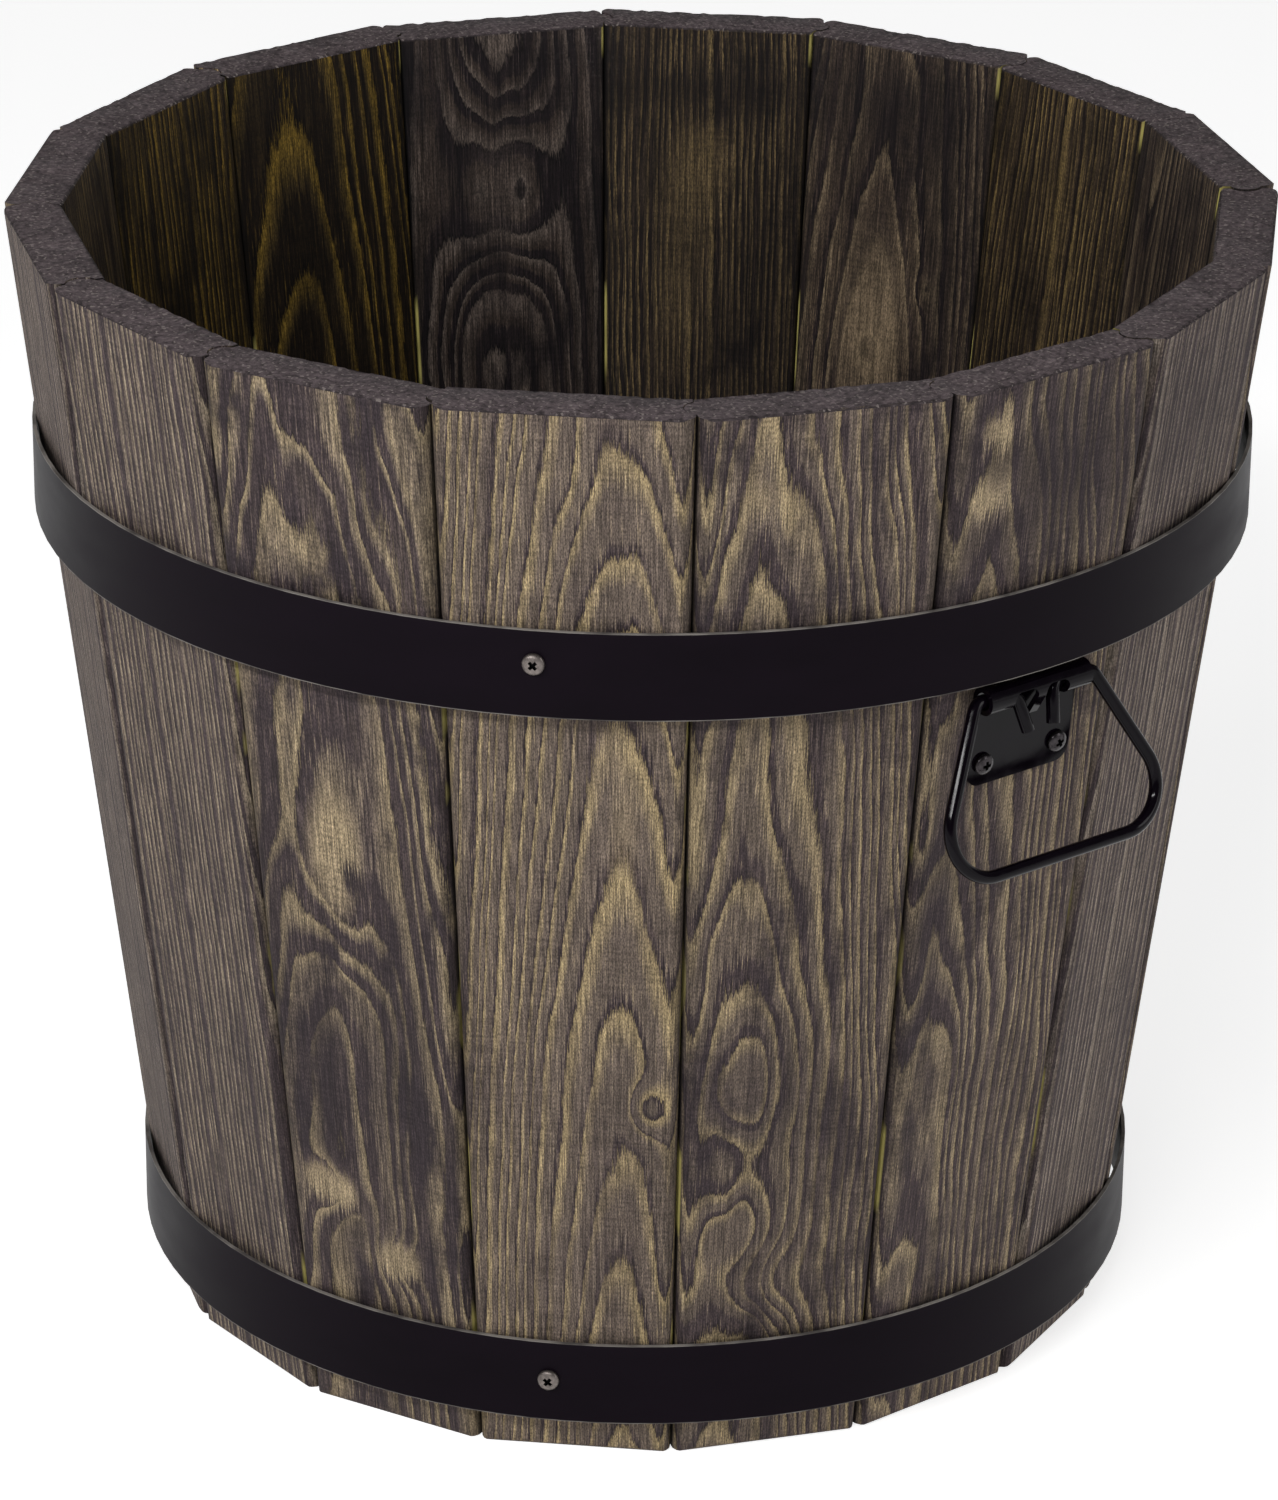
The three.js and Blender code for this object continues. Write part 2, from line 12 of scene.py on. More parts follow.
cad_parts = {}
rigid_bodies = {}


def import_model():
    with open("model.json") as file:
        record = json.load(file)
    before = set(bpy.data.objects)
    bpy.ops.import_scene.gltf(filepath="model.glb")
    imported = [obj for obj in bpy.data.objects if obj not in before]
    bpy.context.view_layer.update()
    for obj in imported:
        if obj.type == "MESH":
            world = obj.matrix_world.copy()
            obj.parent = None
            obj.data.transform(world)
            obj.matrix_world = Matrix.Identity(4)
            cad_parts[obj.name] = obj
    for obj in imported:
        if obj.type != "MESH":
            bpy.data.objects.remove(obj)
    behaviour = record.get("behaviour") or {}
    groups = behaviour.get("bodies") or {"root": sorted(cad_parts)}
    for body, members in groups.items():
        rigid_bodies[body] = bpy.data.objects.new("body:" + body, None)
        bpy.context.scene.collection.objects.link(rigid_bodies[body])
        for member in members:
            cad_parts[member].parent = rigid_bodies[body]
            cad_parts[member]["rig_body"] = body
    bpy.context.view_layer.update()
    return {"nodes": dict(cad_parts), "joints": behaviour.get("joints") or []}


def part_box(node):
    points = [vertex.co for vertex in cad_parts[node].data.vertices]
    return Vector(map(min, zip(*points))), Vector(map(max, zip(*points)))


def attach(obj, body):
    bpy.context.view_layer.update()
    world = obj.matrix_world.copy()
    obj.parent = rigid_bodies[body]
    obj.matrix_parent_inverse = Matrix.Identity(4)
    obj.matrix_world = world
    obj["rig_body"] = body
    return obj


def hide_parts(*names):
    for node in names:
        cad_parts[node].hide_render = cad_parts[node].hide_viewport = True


bl_info = {
    "name": "Barrel planter",
    "version": (1, 0, 0),
    "blender": (4, 5, 0),
    "location": "3D View > Sidebar > Planter",
    "description": "Finishes the staves, hoops and handles of a wooden barrel planter",
    "category": "Object",
}

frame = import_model()

MM = 0.001

# ---- Driving sizes, in metres ---------------------------------------------------------------

STAVES = 16
PITCH = math.tau / STAVES
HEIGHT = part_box("stave_01")[1].z
FOOT_FLAT = 0.186  # from the axis to a stave's outer face, on the floor
RIM_FLAT = 0.237  # the same, at the rim
SLOPE = (RIM_FLAT - FOOT_FLAT) / HEIGHT
LEAN = math.atan(SLOPE)
STAVE_JOINT = FOOT_FLAT * math.tan(PITCH / 2)  # from a stave's middle to its joint, on the floor
INNER_SIDE = (-15, -20)  # where a stave's look turns to the inside's, in mm from its outer face

HINGE = Vector(frame["joints"][0]["pos_m"])
WIRE_RADIUS = 0.0025
WIRE_EDGE = 0.0004  # the rounding of the wire's cut ends
WIRE_SPREAD = math.radians(27.9)  # between the loop's legs and its middle line
KNUCKLE_INSIDE = 0.0033
SHEET = 0.002
SHEET_EDGE = 0.0003  # the rounding that the paint gives its edges
BRACKET_WIDTH = 0.048
BRACKET_TAIL = 0.0375  # from the hinge down to the sheet's bottom edge
BRACKET_CORNER = 0.006
LIP_ANGLE = math.radians(105)  # how far the roll comes round, from the front
TONGUE_ANGLE = math.radians(25)
TONGUE_LENGTH = 0.0085
TONGUE_WIDTH = 0.0038
SLOT_WIDTH = 0.011
SLOT_ROUND = 0.003
SLOT_HEAD = 0.0028  # from the wire's line to the slot's head, at the top of the swing
SLOT_TURN = math.radians(6)  # how far the wire's end points down there
REST_ANGLE = math.radians(24)  # from the stave out to the loop

HANDLE_SCREW = Vector((-0.003, 0.0175, -0.0285))  # its head's underside, from the hinge
HANDLE_SCREW_LENGTH = 0.016  # below the head
HOOP_SCREW_LENGTH = 0.021
SCREW_HEAD = 0.0041
SCREW_HEIGHT = 0.0025
SCREW_SHANK = 0.002
RIVET_HEAD = 0.0042
RIVET_RISE = 0.0022
RIVET_SHANK = 0.0024
RIVET_TAIL = 0.0038

BOTTOM_BOARDS = 5
HOOPS = ("upper_hoop", "lower_hoop")
SIDES = (("right", 0), ("left", math.pi))

JOIN = 1e-6  # corners closer than this are one
FLAT = math.radians(0.2)  # faces that turn less than this are one
CREASE = math.radians(40)

FLOOR_GLOW = 0.68  # what the floor adds to its lighting, so that it comes out nearly white
LAMP_AIM = Vector((0, 0, 0.22))  # the barrel's middle


# ---- Colours and the one way to add a node ----------------------------------------------------


def linear(code):
    """An sRGB hex value as a linear colour with full alpha."""
    channels = [(code >> shift & 255) / 255 for shift in (16, 8, 0)]
    return (*[c / 12.92 if c <= 0.04045 else ((c + 0.055) / 1.055) ** 2.4 for c in channels], 1)


def colour(name, description, code):
    return bpy.props.FloatVectorProperty(
        name=name, description=description, subtype="COLOR", size=4, min=0, max=1,
        default=linear(code))


def length(name, description, metres, least=0):
    return bpy.props.FloatProperty(
        name=name, description=description, default=metres, min=least, unit="LENGTH")


def angle(name, description, degrees):
    return bpy.props.FloatProperty(
        name=name, description=description, default=math.radians(degrees), subtype="ANGLE")


def blended(full, empty, share):
    """One colour where the share is 1, and the other where it is 0."""
    return [a * share + b * (1 - share) for a, b in zip(full, empty)]


def adder(tree):
    """Gives the function that adds a node to a tree, with its settings, its links and its stops."""

    def add(kind, *inputs, named=None, stops=(), **settings):
        made = tree.nodes.new("ShaderNode" + kind)
        for setting, value in settings.items():
            setattr(made, setting, value)
        for socket, value in [*enumerate(inputs), *(named or {}).items()]:
            if isinstance(value, bpy.types.NodeSocket):
                tree.links.new(value, made.inputs[socket])
            else:
                made.inputs[socket].default_value = value
        for i, (position, shade) in enumerate(stops):
            elements = made.color_ramp.elements
            stop = elements[i] if i < 2 else elements.new(position)
            stop.position = position
            stop.color = shade
        return made.outputs

    return add


def new_material(name):
    made = bpy.data.materials.new(name)
    made.use_nodes = True
    made.node_tree.nodes.clear()
    return made, adder(made.node_tree)


# ---- What a user would change -----------------------------------------------------------------


class PlanterWood(bpy.types.PropertyGroup):
    """The stained pine."""

    ochre: colour("Latewood", "Hard wood that the stain leaves warm and pale", 0xB39D70)
    ashen: colour("Grey latewood", "The same on the boards that weathered grey", 0x9C9087)
    mid: colour("Earlywood", "Soft wood under the stain", 0x71645A)
    dark: colour("Young ring", "Where a ring starts and takes most stain", 0x4B4042)
    line: colour("Ring line", "The thin dark line between two rings", 0x332A2D)
    soot: colour("Charred wood", "Patches where the stain is thick", 0x3E3539)
    raw: colour("Raw edge", "Bare wood beside the joints", 0xD2C573)
    rim: colour("End grain", "The sawn and stained ends", 0x5D5355)
    olive: colour("Inside", "What the stain does to warm wood inside", 0xDEDCB4)
    shade: colour("Grey inside", "What the stain does to grey wood inside", 0xDEE0EC)
    speck: colour("Specks", "Pale fibre ends on the rim", 0x948A86)
    fibre: length("Fibre", "Width of a wood fibre bundle", 0.55 * MM, least=0.1 * MM)
    worn_edge: length("Worn edge", "Rounding of the boards' end edges", 0.8 * MM)
    rim_step: length("Rim step", "How far a stave may stop short of the rim", 1.3 * MM)


class PlanterSteel(bpy.types.PropertyGroup):
    """The painted and plated steel."""

    hoop: colour("Hoop paint", "Satin black paint on the hoops", 0x120C13)
    cut: colour("Cut edge", "The hoops' cut edges, rubbed bright", 0x8A8580)
    handle: colour("Handle paint", "Gloss black paint on the handles", 0x070309)
    zinc: colour("Zinc", "Dark zinc plate on the hoops' screws", 0x78706C)
    black_zinc: colour("Black zinc", "Black plate on the handles' screws", 0x3C383A)
    # Near black: the painted shade down in the screws' crosses, with some dirt.
    recess: colour("Recess", "Down in the screws' crosses", 0x0A090A)
    hoop_edge: length("Hoop edge", "Rounding of the hoops' edges", 0.35 * MM)


class PlanterStage(bpy.types.PropertyGroup):
    """The floor, the lamps and the camera."""

    floor: colour("Floor", "The pale floor", 0xF4F4F4)
    azimuth: angle("Azimuth", "The camera's place round the planter", 51.7)
    elevation: angle("Elevation", "The camera's height above the horizon", 23.61)
    roll: angle("Roll", "The camera's turn about its own line", 0.593)
    distance: length("Distance", "From the camera to its aim", 2.469)
    aim: length("Aim", "Height of the point that the camera looks at", 0.2066)
    lens: bpy.props.FloatProperty(
        name="Lens", description="Focal length", default=151.37, unit="CAMERA")


# ---- Wood -------------------------------------------------------------------------------------


@dataclass
class Figure:
    """How one board was sawn and stained. Lengths are in millimetres."""

    aside: float = 0  # from the board's middle to the tree's heart, across the board
    depth: float = 45  # from the outer face in to the heart, half way up
    drift: float = 0.05  # how fast the heart sinks away, going up
    spacing: float = 3  # from ring to ring
    band: float = 0.2  # the share of a ring that took most stain
    wander: float = 4  # how far the rings stray
    glow: float = 1  # how much the rings show through the stain
    soot: float = 0.6  # how dark the sooty clouds get
    warmth: float = 1  # 1 where the latewood is ochre, 0 where it is grey
    tone: float = 1  # how light the whole board is
    knots: tuple = ()  # across, up, half width, half height, how far the rings rise, darkness
    patches: tuple = ()  # across, up, half width, half height, how much paler or, below 0, darker


FIGURES = {
    1: Figure(aside=-27, depth=34, drift=0.06, spacing=3.4, band=0.4, wander=6, glow=1.4, soot=0.8,
              warmth=0.6,
              patches=((6, 400, 60, 40, -0.85), (-27, 421, 9, 7, 1.9), (-27, 393, 10, 8, 1.9),
                       (-30, 235, 12, 60, -0.6), (18, 150, 20, 90, 0.35))),
    2: Figure(aside=64, depth=30, spacing=3.2, band=0.4, wander=3, glow=1.4, soot=0.3, warmth=0.1,
              tone=1.06, patches=((0, 400, 60, 40, -0.5),)),
    3: Figure(aside=-60, depth=36, spacing=3.4, band=0.3, glow=1.3, soot=0.6, warmth=0.4),
    4: Figure(aside=22, depth=40, drift=-0.05, spacing=3.6, band=0.3, soot=0.6, warmth=0.3),
    5: Figure(aside=-70, depth=30, spacing=3.2, band=0.3, wander=5, soot=0.5, warmth=0.6,
              tone=1.25, patches=((0, 380, 14, 60, 0.5), (16, 320, 20, 30, -0.4))),
    6: Figure(aside=6, depth=52, spacing=3.4, band=0.3, soot=0.8, warmth=0.3, tone=1.35,
              knots=((7, 309, 5, 8, 4, 0.9), (-17, 338, 4, 7, 4, 0.9)),
              patches=((0, 412, 40, 22, -0.7), (5, 320, 18, 50, 1.3), (-22, 350, 8, 60, -0.6))),
    7: Figure(aside=66, depth=30, spacing=2.8, band=0.4, soot=0.8, warmth=0.5,
              patches=((0, 410, 40, 10, -0.8), (-6, 380, 20, 30, 0.7), (10, 330, 14, 60, 0.6),
                       (-20, 350, 10, 80, -0.5))),
    8: Figure(aside=2, depth=44, drift=0.03, spacing=4.4, band=0.4, wander=7, soot=0.7,
              warmth=0.1, tone=0.82,
              knots=((3, 366, 24, 40, 20, 0), (11, 370, 5, 9, 3, 1), (-6, 369, 4, 8, 3, 0.9)),
              patches=((2, 368, 20, 36, 0.7),)),
    9: Figure(aside=17, depth=52, drift=0.065, spacing=4.6, band=0.5, glow=1.3, soot=0.3,
              tone=0.95),
    10: Figure(aside=-50, depth=30, spacing=3.6, band=0.3, glow=1.1, soot=0.7, tone=0.9),
    11: Figure(aside=-24, depth=40, drift=-0.05, spacing=3.4, glow=0.8, warmth=0.6),
    12: Figure(aside=76, depth=28, spacing=3, band=0.4, wander=3, glow=1.3, soot=0.3, warmth=0.1,
               tone=0.92),
    13: Figure(aside=-74, depth=24, spacing=3, band=0.42, wander=3, glow=1.6, soot=0.35,
               warmth=0.35, tone=0.94),
    14: Figure(aside=-12, depth=32, drift=0.09, spacing=5.4, band=0.52, wander=8, glow=1.2,
               soot=0.95, warmth=0.6, tone=0.9, knots=(
        (-6, 244, 17, 38, 10, 0), (-20, 98, 10, 12, 8, 0), (8, 72, 9, 12, 7, 0)),
        patches=((-6, 246, 11, 26, 1.6), (0, 238, 3, 4, -2.5), (-24, 101, 7, 9, 2),
                 (-14, 98, 6, 8, 1.6), (8, 73, 9, 8, 1.8), (14, 170, 14, 60, -0.6),
                 (-18, 150, 8, 50, -0.9), (-34, 200, 9, 120, -0.4))),
    15: Figure(aside=20, depth=44, drift=0.058, spacing=2.9, band=0.1, wander=2.6, glow=1.05,
               soot=0.15, warmth=0.8, tone=1.02, knots=((29, 154, 7, 11, 6, 0.3),),
               patches=((21, 285, 9, 30, 0.5), (19, 248, 8, 22, 0.4))),
    16: Figure(aside=-18, depth=36, drift=0.06, spacing=3.3, band=0.25, wander=5, glow=1.2,
               soot=0.75, warmth=0.7, tone=0.96,
               knots=((-20, 126, 16, 24, 7, 0), (-6, 74, 20, 20, 9, 0)),
               patches=((-24, 405, 8, 10, 0.8), (-10, 295, 12, 22, 0.4), (8, 330, 50, 26, -0.5),
                        (0, 160, 14, 40, -0.4))),
}


def swell(add, board, place, size):
    """A soft round hill on the board's face, 1 in its middle."""
    away = add("VectorMath", board, place, operation="SUBTRACT")[0]
    away = add("VectorMath", away, size, operation="DIVIDE")[0]
    squared = add("VectorMath", away, away, operation="DOT_PRODUCT")["Value"]
    return add("Math", 1 / math.e, squared, operation="POWER")[0]


def ring_radius(add, board, figure):
    """The distance from the tree's heart in millimetres, led astray by slow noise and by knots."""
    reach = (34, 34, 120)  # the slow wander's size across and along the grain
    slow = add("TexNoise", add("VectorMath", board, reach, operation="DIVIDE")[0], named={
        "Scale": 1, "Detail": 2, "Roughness": 0.45})[1]
    centred = add("VectorMath", slow, (0.5, 0.5, 0.5), operation="SUBTRACT")[0]
    stray = (figure.wander * 2.4, figure.wander * 2.4, 0)
    strayed = add("VectorMath", centred, stray, board, operation="MULTIPLY_ADD")[0]
    x, y, z = add("SeparateXYZ", strayed)
    half_way = HEIGHT / MM / 2
    deep = add("Math", z, figure.drift, x, operation="MULTIPLY_ADD")[0]
    deep = add("Math", deep, figure.depth - figure.drift * half_way, operation="ADD")[0]
    aside = add("Math", y, figure.aside, operation="SUBTRACT")[0]
    flat = add("CombineXYZ", deep, aside)[0]
    radius = add("VectorMath", flat, operation="LENGTH")["Value"]
    shade = None
    for across, up, half_width, half_height, rise, darkness in figure.knots:
        hill = swell(add, board, (-8, across, up), (60, half_width, half_height))
        radius = add("Math", hill, rise, radius, operation="MULTIPLY_ADD")[0]
        if darkness:
            core = add("Math", hill, 5, operation="POWER")[0]
            core = add("Math", core, darkness, operation="MULTIPLY")[0]
            shade = core if shade is None else add("Math", shade, core, operation="MAXIMUM")[0]
    return radius, shade


def patchiness(add, board, fibre, figure):
    """How much paler, or below 0 darker, the stain came out, with borders frayed by the fibres."""
    x, y, z = add("SeparateXYZ", board)
    frayed = add("Math", add("Math", fibre, 0.5, operation="SUBTRACT")[0], 26, z,
                 operation="MULTIPLY_ADD")[0]
    frayed = add("CombineXYZ", x, y, frayed)[0]
    total = 0.0
    for across, up, half_width, half_height, change in figure.patches:
        hill = swell(add, frayed, (-8, across, up), (60, half_width, half_height))
        total = add("Math", hill, change, total, operation="MULTIPLY_ADD")[0]
    return total


@dataclass
class Grain:
    """The patterns of one board that its colours and its relief share, each from 0 to 1."""

    fibre: object  # long thin streaks along the grain, drawn twice as wide as they are, to show
    fuzz: object  # broken ends of the brushed fibres, about twice as long as they are wide
    bundle: object  # broader streaks, a decimetre long
    cloud: object  # where the stain lies thin or thick, a few centimetres wide
    smoke: object  # the same for soot
    season: object  # from the start of a ring to its end
    knot: object  # how near a knot's heart is, or None


def grain_of(add, board, figure, wood):
    width = wood.fibre / MM
    far = add("VectorMath", board, (310, 170, 520), operation="ADD")[0]
    patterns = []
    for seat, reach, detail, roughness in (
            (board, (width, width, 15), 3, 0.6), (board, (0.45, 0.45, 1.1), 1, 0.5),
            (board, (1.7, 1.7, 110), 2, 0.55), (board, (21, 21, 60), 4, 0.6),
            (far, (26, 26, 64), 4, 0.62)):
        stretched = add("VectorMath", seat, reach, operation="DIVIDE")[0]
        patterns.append(add("TexNoise", stretched, named={
            "Scale": 1, "Detail": detail, "Roughness": roughness})[0])
    fibre, fuzz, bundle, cloud, smoke = patterns
    # The fibres roughen the rings' borders, and every few rings the spacing changes.
    radius, knot = ring_radius(add, board, figure)
    rough = add("Math", fibre, figure.spacing * 0.55, radius, operation="MULTIPLY_ADD")[0]
    pace = add("TexNoise", named={"W": add("Math", radius, 1 / 9, operation="MULTIPLY")[0],
               "Scale": 1, "Detail": 1}, noise_dimensions="1D")[0]
    uneven = add("Math", pace, figure.spacing * 2.2, rough, operation="MULTIPLY_ADD")[0]
    season = add("Math", add("Math", uneven, figure.spacing, operation="DIVIDE")[0],
                 operation="FRACT")[0]
    return Grain(fibre, fuzz, bundle, cloud, smoke, season, knot)


def stained(add, board, grain, figure, wood):
    """The colour of a board's long faces, and what its brightness is multiplied by."""
    pale = blended(wood.ochre, wood.ashen, figure.warmth)
    rings = add("ValToRGB", grain.season, stops=(
        (0, wood.line), (1, wood.line), (0.04, wood.line), (0.08, wood.dark),
        (figure.band, wood.dark), (figure.band + 0.1, wood.mid), (0.62, wood.mid),
        (0.94, pale), (0.975, pale)))[0]

    # Where the stain is even, the rings hardly show.
    even = add("ValToRGB", grain.bundle, stops=((0.35, wood.dark), (0.6, wood.mid)))[0]
    show = add("MapRange", grain.cloud, 0.34, 0.56, 0.3, 1)[0]
    show = add("Math", show, figure.glow, operation="MULTIPLY", use_clamp=True)[0]
    face = add("Mix", named={0: show, 6: even, 7: rings}, data_type="RGBA")[2]

    # Flecks: fibre ends that the stain missed.
    fleck = add("Math", add("MapRange", grain.fibre, 0.58, 0.7, 0, 1)[0],
                add("MapRange", grain.cloud, 0.4, 0.6, 0, 0.55)[0], operation="MULTIPLY")[0]
    face = add("Mix", named={0: fleck, 6: face, 7: pale}, data_type="RGBA")[2]

    # Soot with soft edges, and patches in places of their own.
    sooty = add("MapRange", grain.smoke, 0.5, 0.62, 0, figure.soot)[0]
    shares = []
    if figure.patches:
        patch = patchiness(add, board, grain.fibre, figure)
        paler = add("MapRange", patch, 0.3, 1, 0, 0.75)[0]
        face = add("Mix", named={0: paler, 6: face, 7: pale}, data_type="RGBA")[2]
        sooty = add("Math", add("Math", patch, -1, operation="MULTIPLY")[0], sooty,
                    operation="MAXIMUM")[0]
        sooty = add("Math", sooty, add("MapRange", patch, 0, 0.5, 1, 0.2)[0],
                    operation="MULTIPLY", use_clamp=True)[0]
        shares.append(add("MapRange", patch, -1, 1, 0.74, 1.2)[0])
    face = add("Mix", named={0: sooty, 6: face, 7: wood.soot}, data_type="RGBA")[2]

    # Chatter of the planer, across the grain and only in places.
    chatter = add("TexNoise", add("VectorMath", board, (24, 24, 1.5), operation="DIVIDE")[0],
                  named={"Scale": 1, "Detail": 2, "Roughness": 0.6})[0]
    chatter = add("MapRange", chatter, 0.35, 0.65, 0.15, -0.18)[0]
    chatter = add("Math", chatter, add("MapRange", grain.smoke, 0.44, 0.54, 0, 1)[0], 1,
                  operation="MULTIPLY_ADD")[0]
    grit = add("MapRange", grain.fuzz, 0.3, 0.7, 0.5, 1.5)[0]
    streak = add("MapRange", grain.fibre, 0.34, 0.66, 0.5, 1.48)[0]
    shares += [chatter, grit, streak, figure.tone]
    if grain.knot:
        shares.append(add("MapRange", grain.knot, 0, 1, 1, 0.35)[0])
    value = add("MapRange", grain.bundle, 0.35, 0.65, 0.84, 1.16)[0]
    for share in shares:
        value = add("Math", value, share, operation="MULTIPLY")[0]
    return face, value


def stained_stave(add, board, grain, figure, wood):
    """A stave's long faces: darker towards the joints, and a darker inside."""
    face, value = stained(add, board, grain, figure, wood)
    x, y, z = add("SeparateXYZ", board)
    joint = STAVE_JOINT / MM
    outwards = add("Math", z, SLOPE, x, operation="MULTIPLY_ADD")[0]
    beside = add("Math", outwards, -math.cos(LEAN) * math.tan(PITCH / 2),
                 add("Math", y, operation="ABSOLUTE")[0], operation="MULTIPLY_ADD")[0]
    # Darker over the last eight millimetres towards each joint, and darkest at the joint line
    # itself.
    edge = add("MapRange", beside, joint - 8, joint - 1, 1, 0.7,
               interpolation_type="SMOOTHSTEP")[0]
    crack = add("MapRange", beside, joint - 0.9, joint - 0.4, 1, 0.3)[0]
    for share in (edge, crack):
        value = add("Math", value, share, operation="MULTIPLY")[0]

    # The inside never saw the brush: darker, and more yellow where it shows.
    inside = add("MapRange", x, *INNER_SIDE, 0, 1)[0]
    hue = blended(wood.olive, wood.shade, figure.warmth)
    stain = add("Mix", named={0: inside, 6: (1, 1, 1, 1), 7: hue}, data_type="RGBA")[2]
    face = add("Mix", named={0: 1.0, 6: face, 7: stain}, data_type="RGBA",
               blend_type="MULTIPLY")[2]
    face = add("Gamma", face, add("MapRange", inside, 0, 1, 1, 1.5)[0])[0]
    face = add("VectorMath", face, named={"Scale": value}, operation="SCALE")[0]

    # Here and there the stain missed a stave's very edge.
    missed = add("TexNoise", add("VectorMath", board, (30, 30, 60), operation="DIVIDE")[0],
                 named={"Scale": 1, "Detail": 2})[0]
    missed = add("MapRange", missed, 0.57, 0.64, 0, 1)[0]
    bare = add("MapRange", beside, joint - 1.3, joint - 0.8, 0, 0.8)[0]
    bare = add("Math", bare, missed, operation="MULTIPLY")[0]
    return add("Mix", named={0: bare, 6: face, 7: wood.raw}, data_type="RGBA")[2]


def end_grain(add, board, grain, upright, wood):
    """
    Sawn ends: even and purple-grey, with the rings as faint arcs, pale fibre ends and a sooty
    arris. Pores and fibre ends are drawn a few times coarser than they are, to show.
    """
    pores = add("TexNoise", board, named={"Scale": 1 / 2.2, "Detail": 4, "Roughness": 0.7})[0]
    tint = add("MapRange", pores, 0.36, 0.64, 0.48, 1.5)[0]
    for share in (add("MapRange", grain.season, 0, 0.25, 0.65, 1)[0],
                  add("MapRange", grain.cloud, 0.3, 0.7, 0.7, 1.25)[0],
                  add("MapRange", upright, 0.8, 0.97, 0.5, 1)[0]):
        tint = add("Math", tint, share, operation="MULTIPLY")[0]
    sawn = add("VectorMath", wood.rim[:3], named={"Scale": tint}, operation="SCALE")[0]
    specks = add("TexNoise", board, named={"Scale": 1 / 1.4, "Detail": 0})[0]
    specks = add("MapRange", specks, 0.66, 0.74, 0, 0.7)[0]
    sawn = add("Mix", named={0: specks, 6: sawn, 7: wood.speck}, data_type="RGBA")[2]
    return sawn, pores


def pine(name, place, turn, figure, wood, is_stave=True):
    """
    Pine that was singed or stained dark, brushed and left matt. The stain soaks into the soft
    earlywood, so the thin latewood of each ring stays ochre, with a dark line where the next
    ring starts. Fibres, stain clouds, saw marks and sooty edges break it up.
    """
    made, add = new_material(name)
    seat = add("TexCoord")
    board = add("Mapping", seat["Object"], named={
        "Location": place, "Rotation": turn, "Scale": (MM, MM, MM)}, vector_type="TEXTURE")[0]
    grain = grain_of(add, board, figure, wood)
    # The brush leaves the hard latewood standing proud by a tenth of a millimetre or two.
    relief = add("Math", grain.season, 0.5, grain.fibre, operation="MULTIPLY_ADD")[0]
    relief = add("Math", grain.fuzz, 0.5, relief, operation="MULTIPLY_ADD")[0]
    if is_stave:
        face = stained_stave(add, board, grain, figure, wood)
        upright = add("Math", add("SeparateXYZ", seat["Normal"])[2], operation="ABSOLUTE")[0]
        sawn, pores = end_grain(add, board, grain, upright, wood)
        end = add("MapRange", upright, 0.4, 0.75, 0, 1)[0]
        skin = add("Mix", named={0: end, 6: face, 7: sawn}, data_type="RGBA")[2]
        relief = add("Mix", named={0: end, 2: relief, 3: pores})[0]
    else:
        face, value = stained(add, board, grain, figure, wood)
        skin = add("VectorMath", face, named={"Scale": value}, operation="SCALE")[0]
    bump = add("Bump", named={"Strength": 0.6, "Distance": 0.5 * MM, "Height": relief})[0]
    dull = add("MapRange", grain.fuzz, 0.2, 0.8, 0.65, 0.85)[0]
    shader = add("BsdfPrincipled", named={
        "Base Color": skin, "Roughness": dull, "IOR": 1.5, "Specular IOR Level": 0.2,
        "Normal": bump})[0]
    add("OutputMaterial", shader)
    return made


def stave_material(number, wood):
    bearing = (number - 1) * PITCH
    place = (FOOT_FLAT * math.cos(bearing), FOOT_FLAT * math.sin(bearing), 0)
    name = f"stained_pine_stave_{number:02d}"
    return pine(name, place, (0, LEAN, bearing), FIGURES[number], wood)


# ---- Steel ------------------------------------------------------------------------------------


def satin_paint(steel, hoop):
    """
    Cold-rolled strap dipped in satin black paint. It is nearly black with a soft broad sheen and
    a faint orange peel, and the paint is rubbed through to bright steel on the cut edges.
    """
    made, add = new_material("satin_painted_strap_" + hoop)
    low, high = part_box(hoop)
    seat = add("TexCoord")["Object"]
    level = add("SeparateXYZ", seat)[2]
    peel = add("TexNoise", seat, named={"Scale": 1 / (2.2 * MM), "Detail": 2})[0]
    smear = add("TexNoise", add("VectorMath", seat, (60 * MM, 60 * MM, 18 * MM),
                operation="DIVIDE")[0], named={"Scale": 1, "Detail": 4})[0]
    middle = (low.z + high.z) / 2
    off = add("Math", add("Math", level, -middle, operation="ADD")[0], operation="ABSOLUTE")[0]
    reach = (high.z - low.z) / 2
    rub = add("TexNoise", seat, named={"Scale": 1 / (14 * MM), "Detail": 3})[0]
    rubbed = add("MapRange", off, reach - 0.4 * MM, reach - 0.2 * MM, 0, 1)[0]
    rubbed = add("Math", rubbed, add("MapRange", rub, 0.35, 0.6, 0.35, 1)[0],
                 operation="MULTIPLY")[0]
    paint = add("MapRange", smear, 0.3, 0.7, 0.85, 1.2)[0]
    paint = add("VectorMath", steel.hoop[:3], named={"Scale": paint}, operation="SCALE")[0]
    skin = add("Mix", named={0: rubbed, 6: paint, 7: steel.cut}, data_type="RGBA")[2]
    sheen = add("MapRange", smear, 0.3, 0.7, 0.36, 0.48)[0]
    bump = add("Bump", named={"Strength": 0.12, "Distance": 0.1 * MM, "Height": peel})[0]
    shader = add("BsdfPrincipled", named={
        "Base Color": skin, "Roughness": sheen, "IOR": 1.5, "Specular IOR Level": 0.04,
        "Normal": bump})[0]
    add("OutputMaterial", shader)
    return made


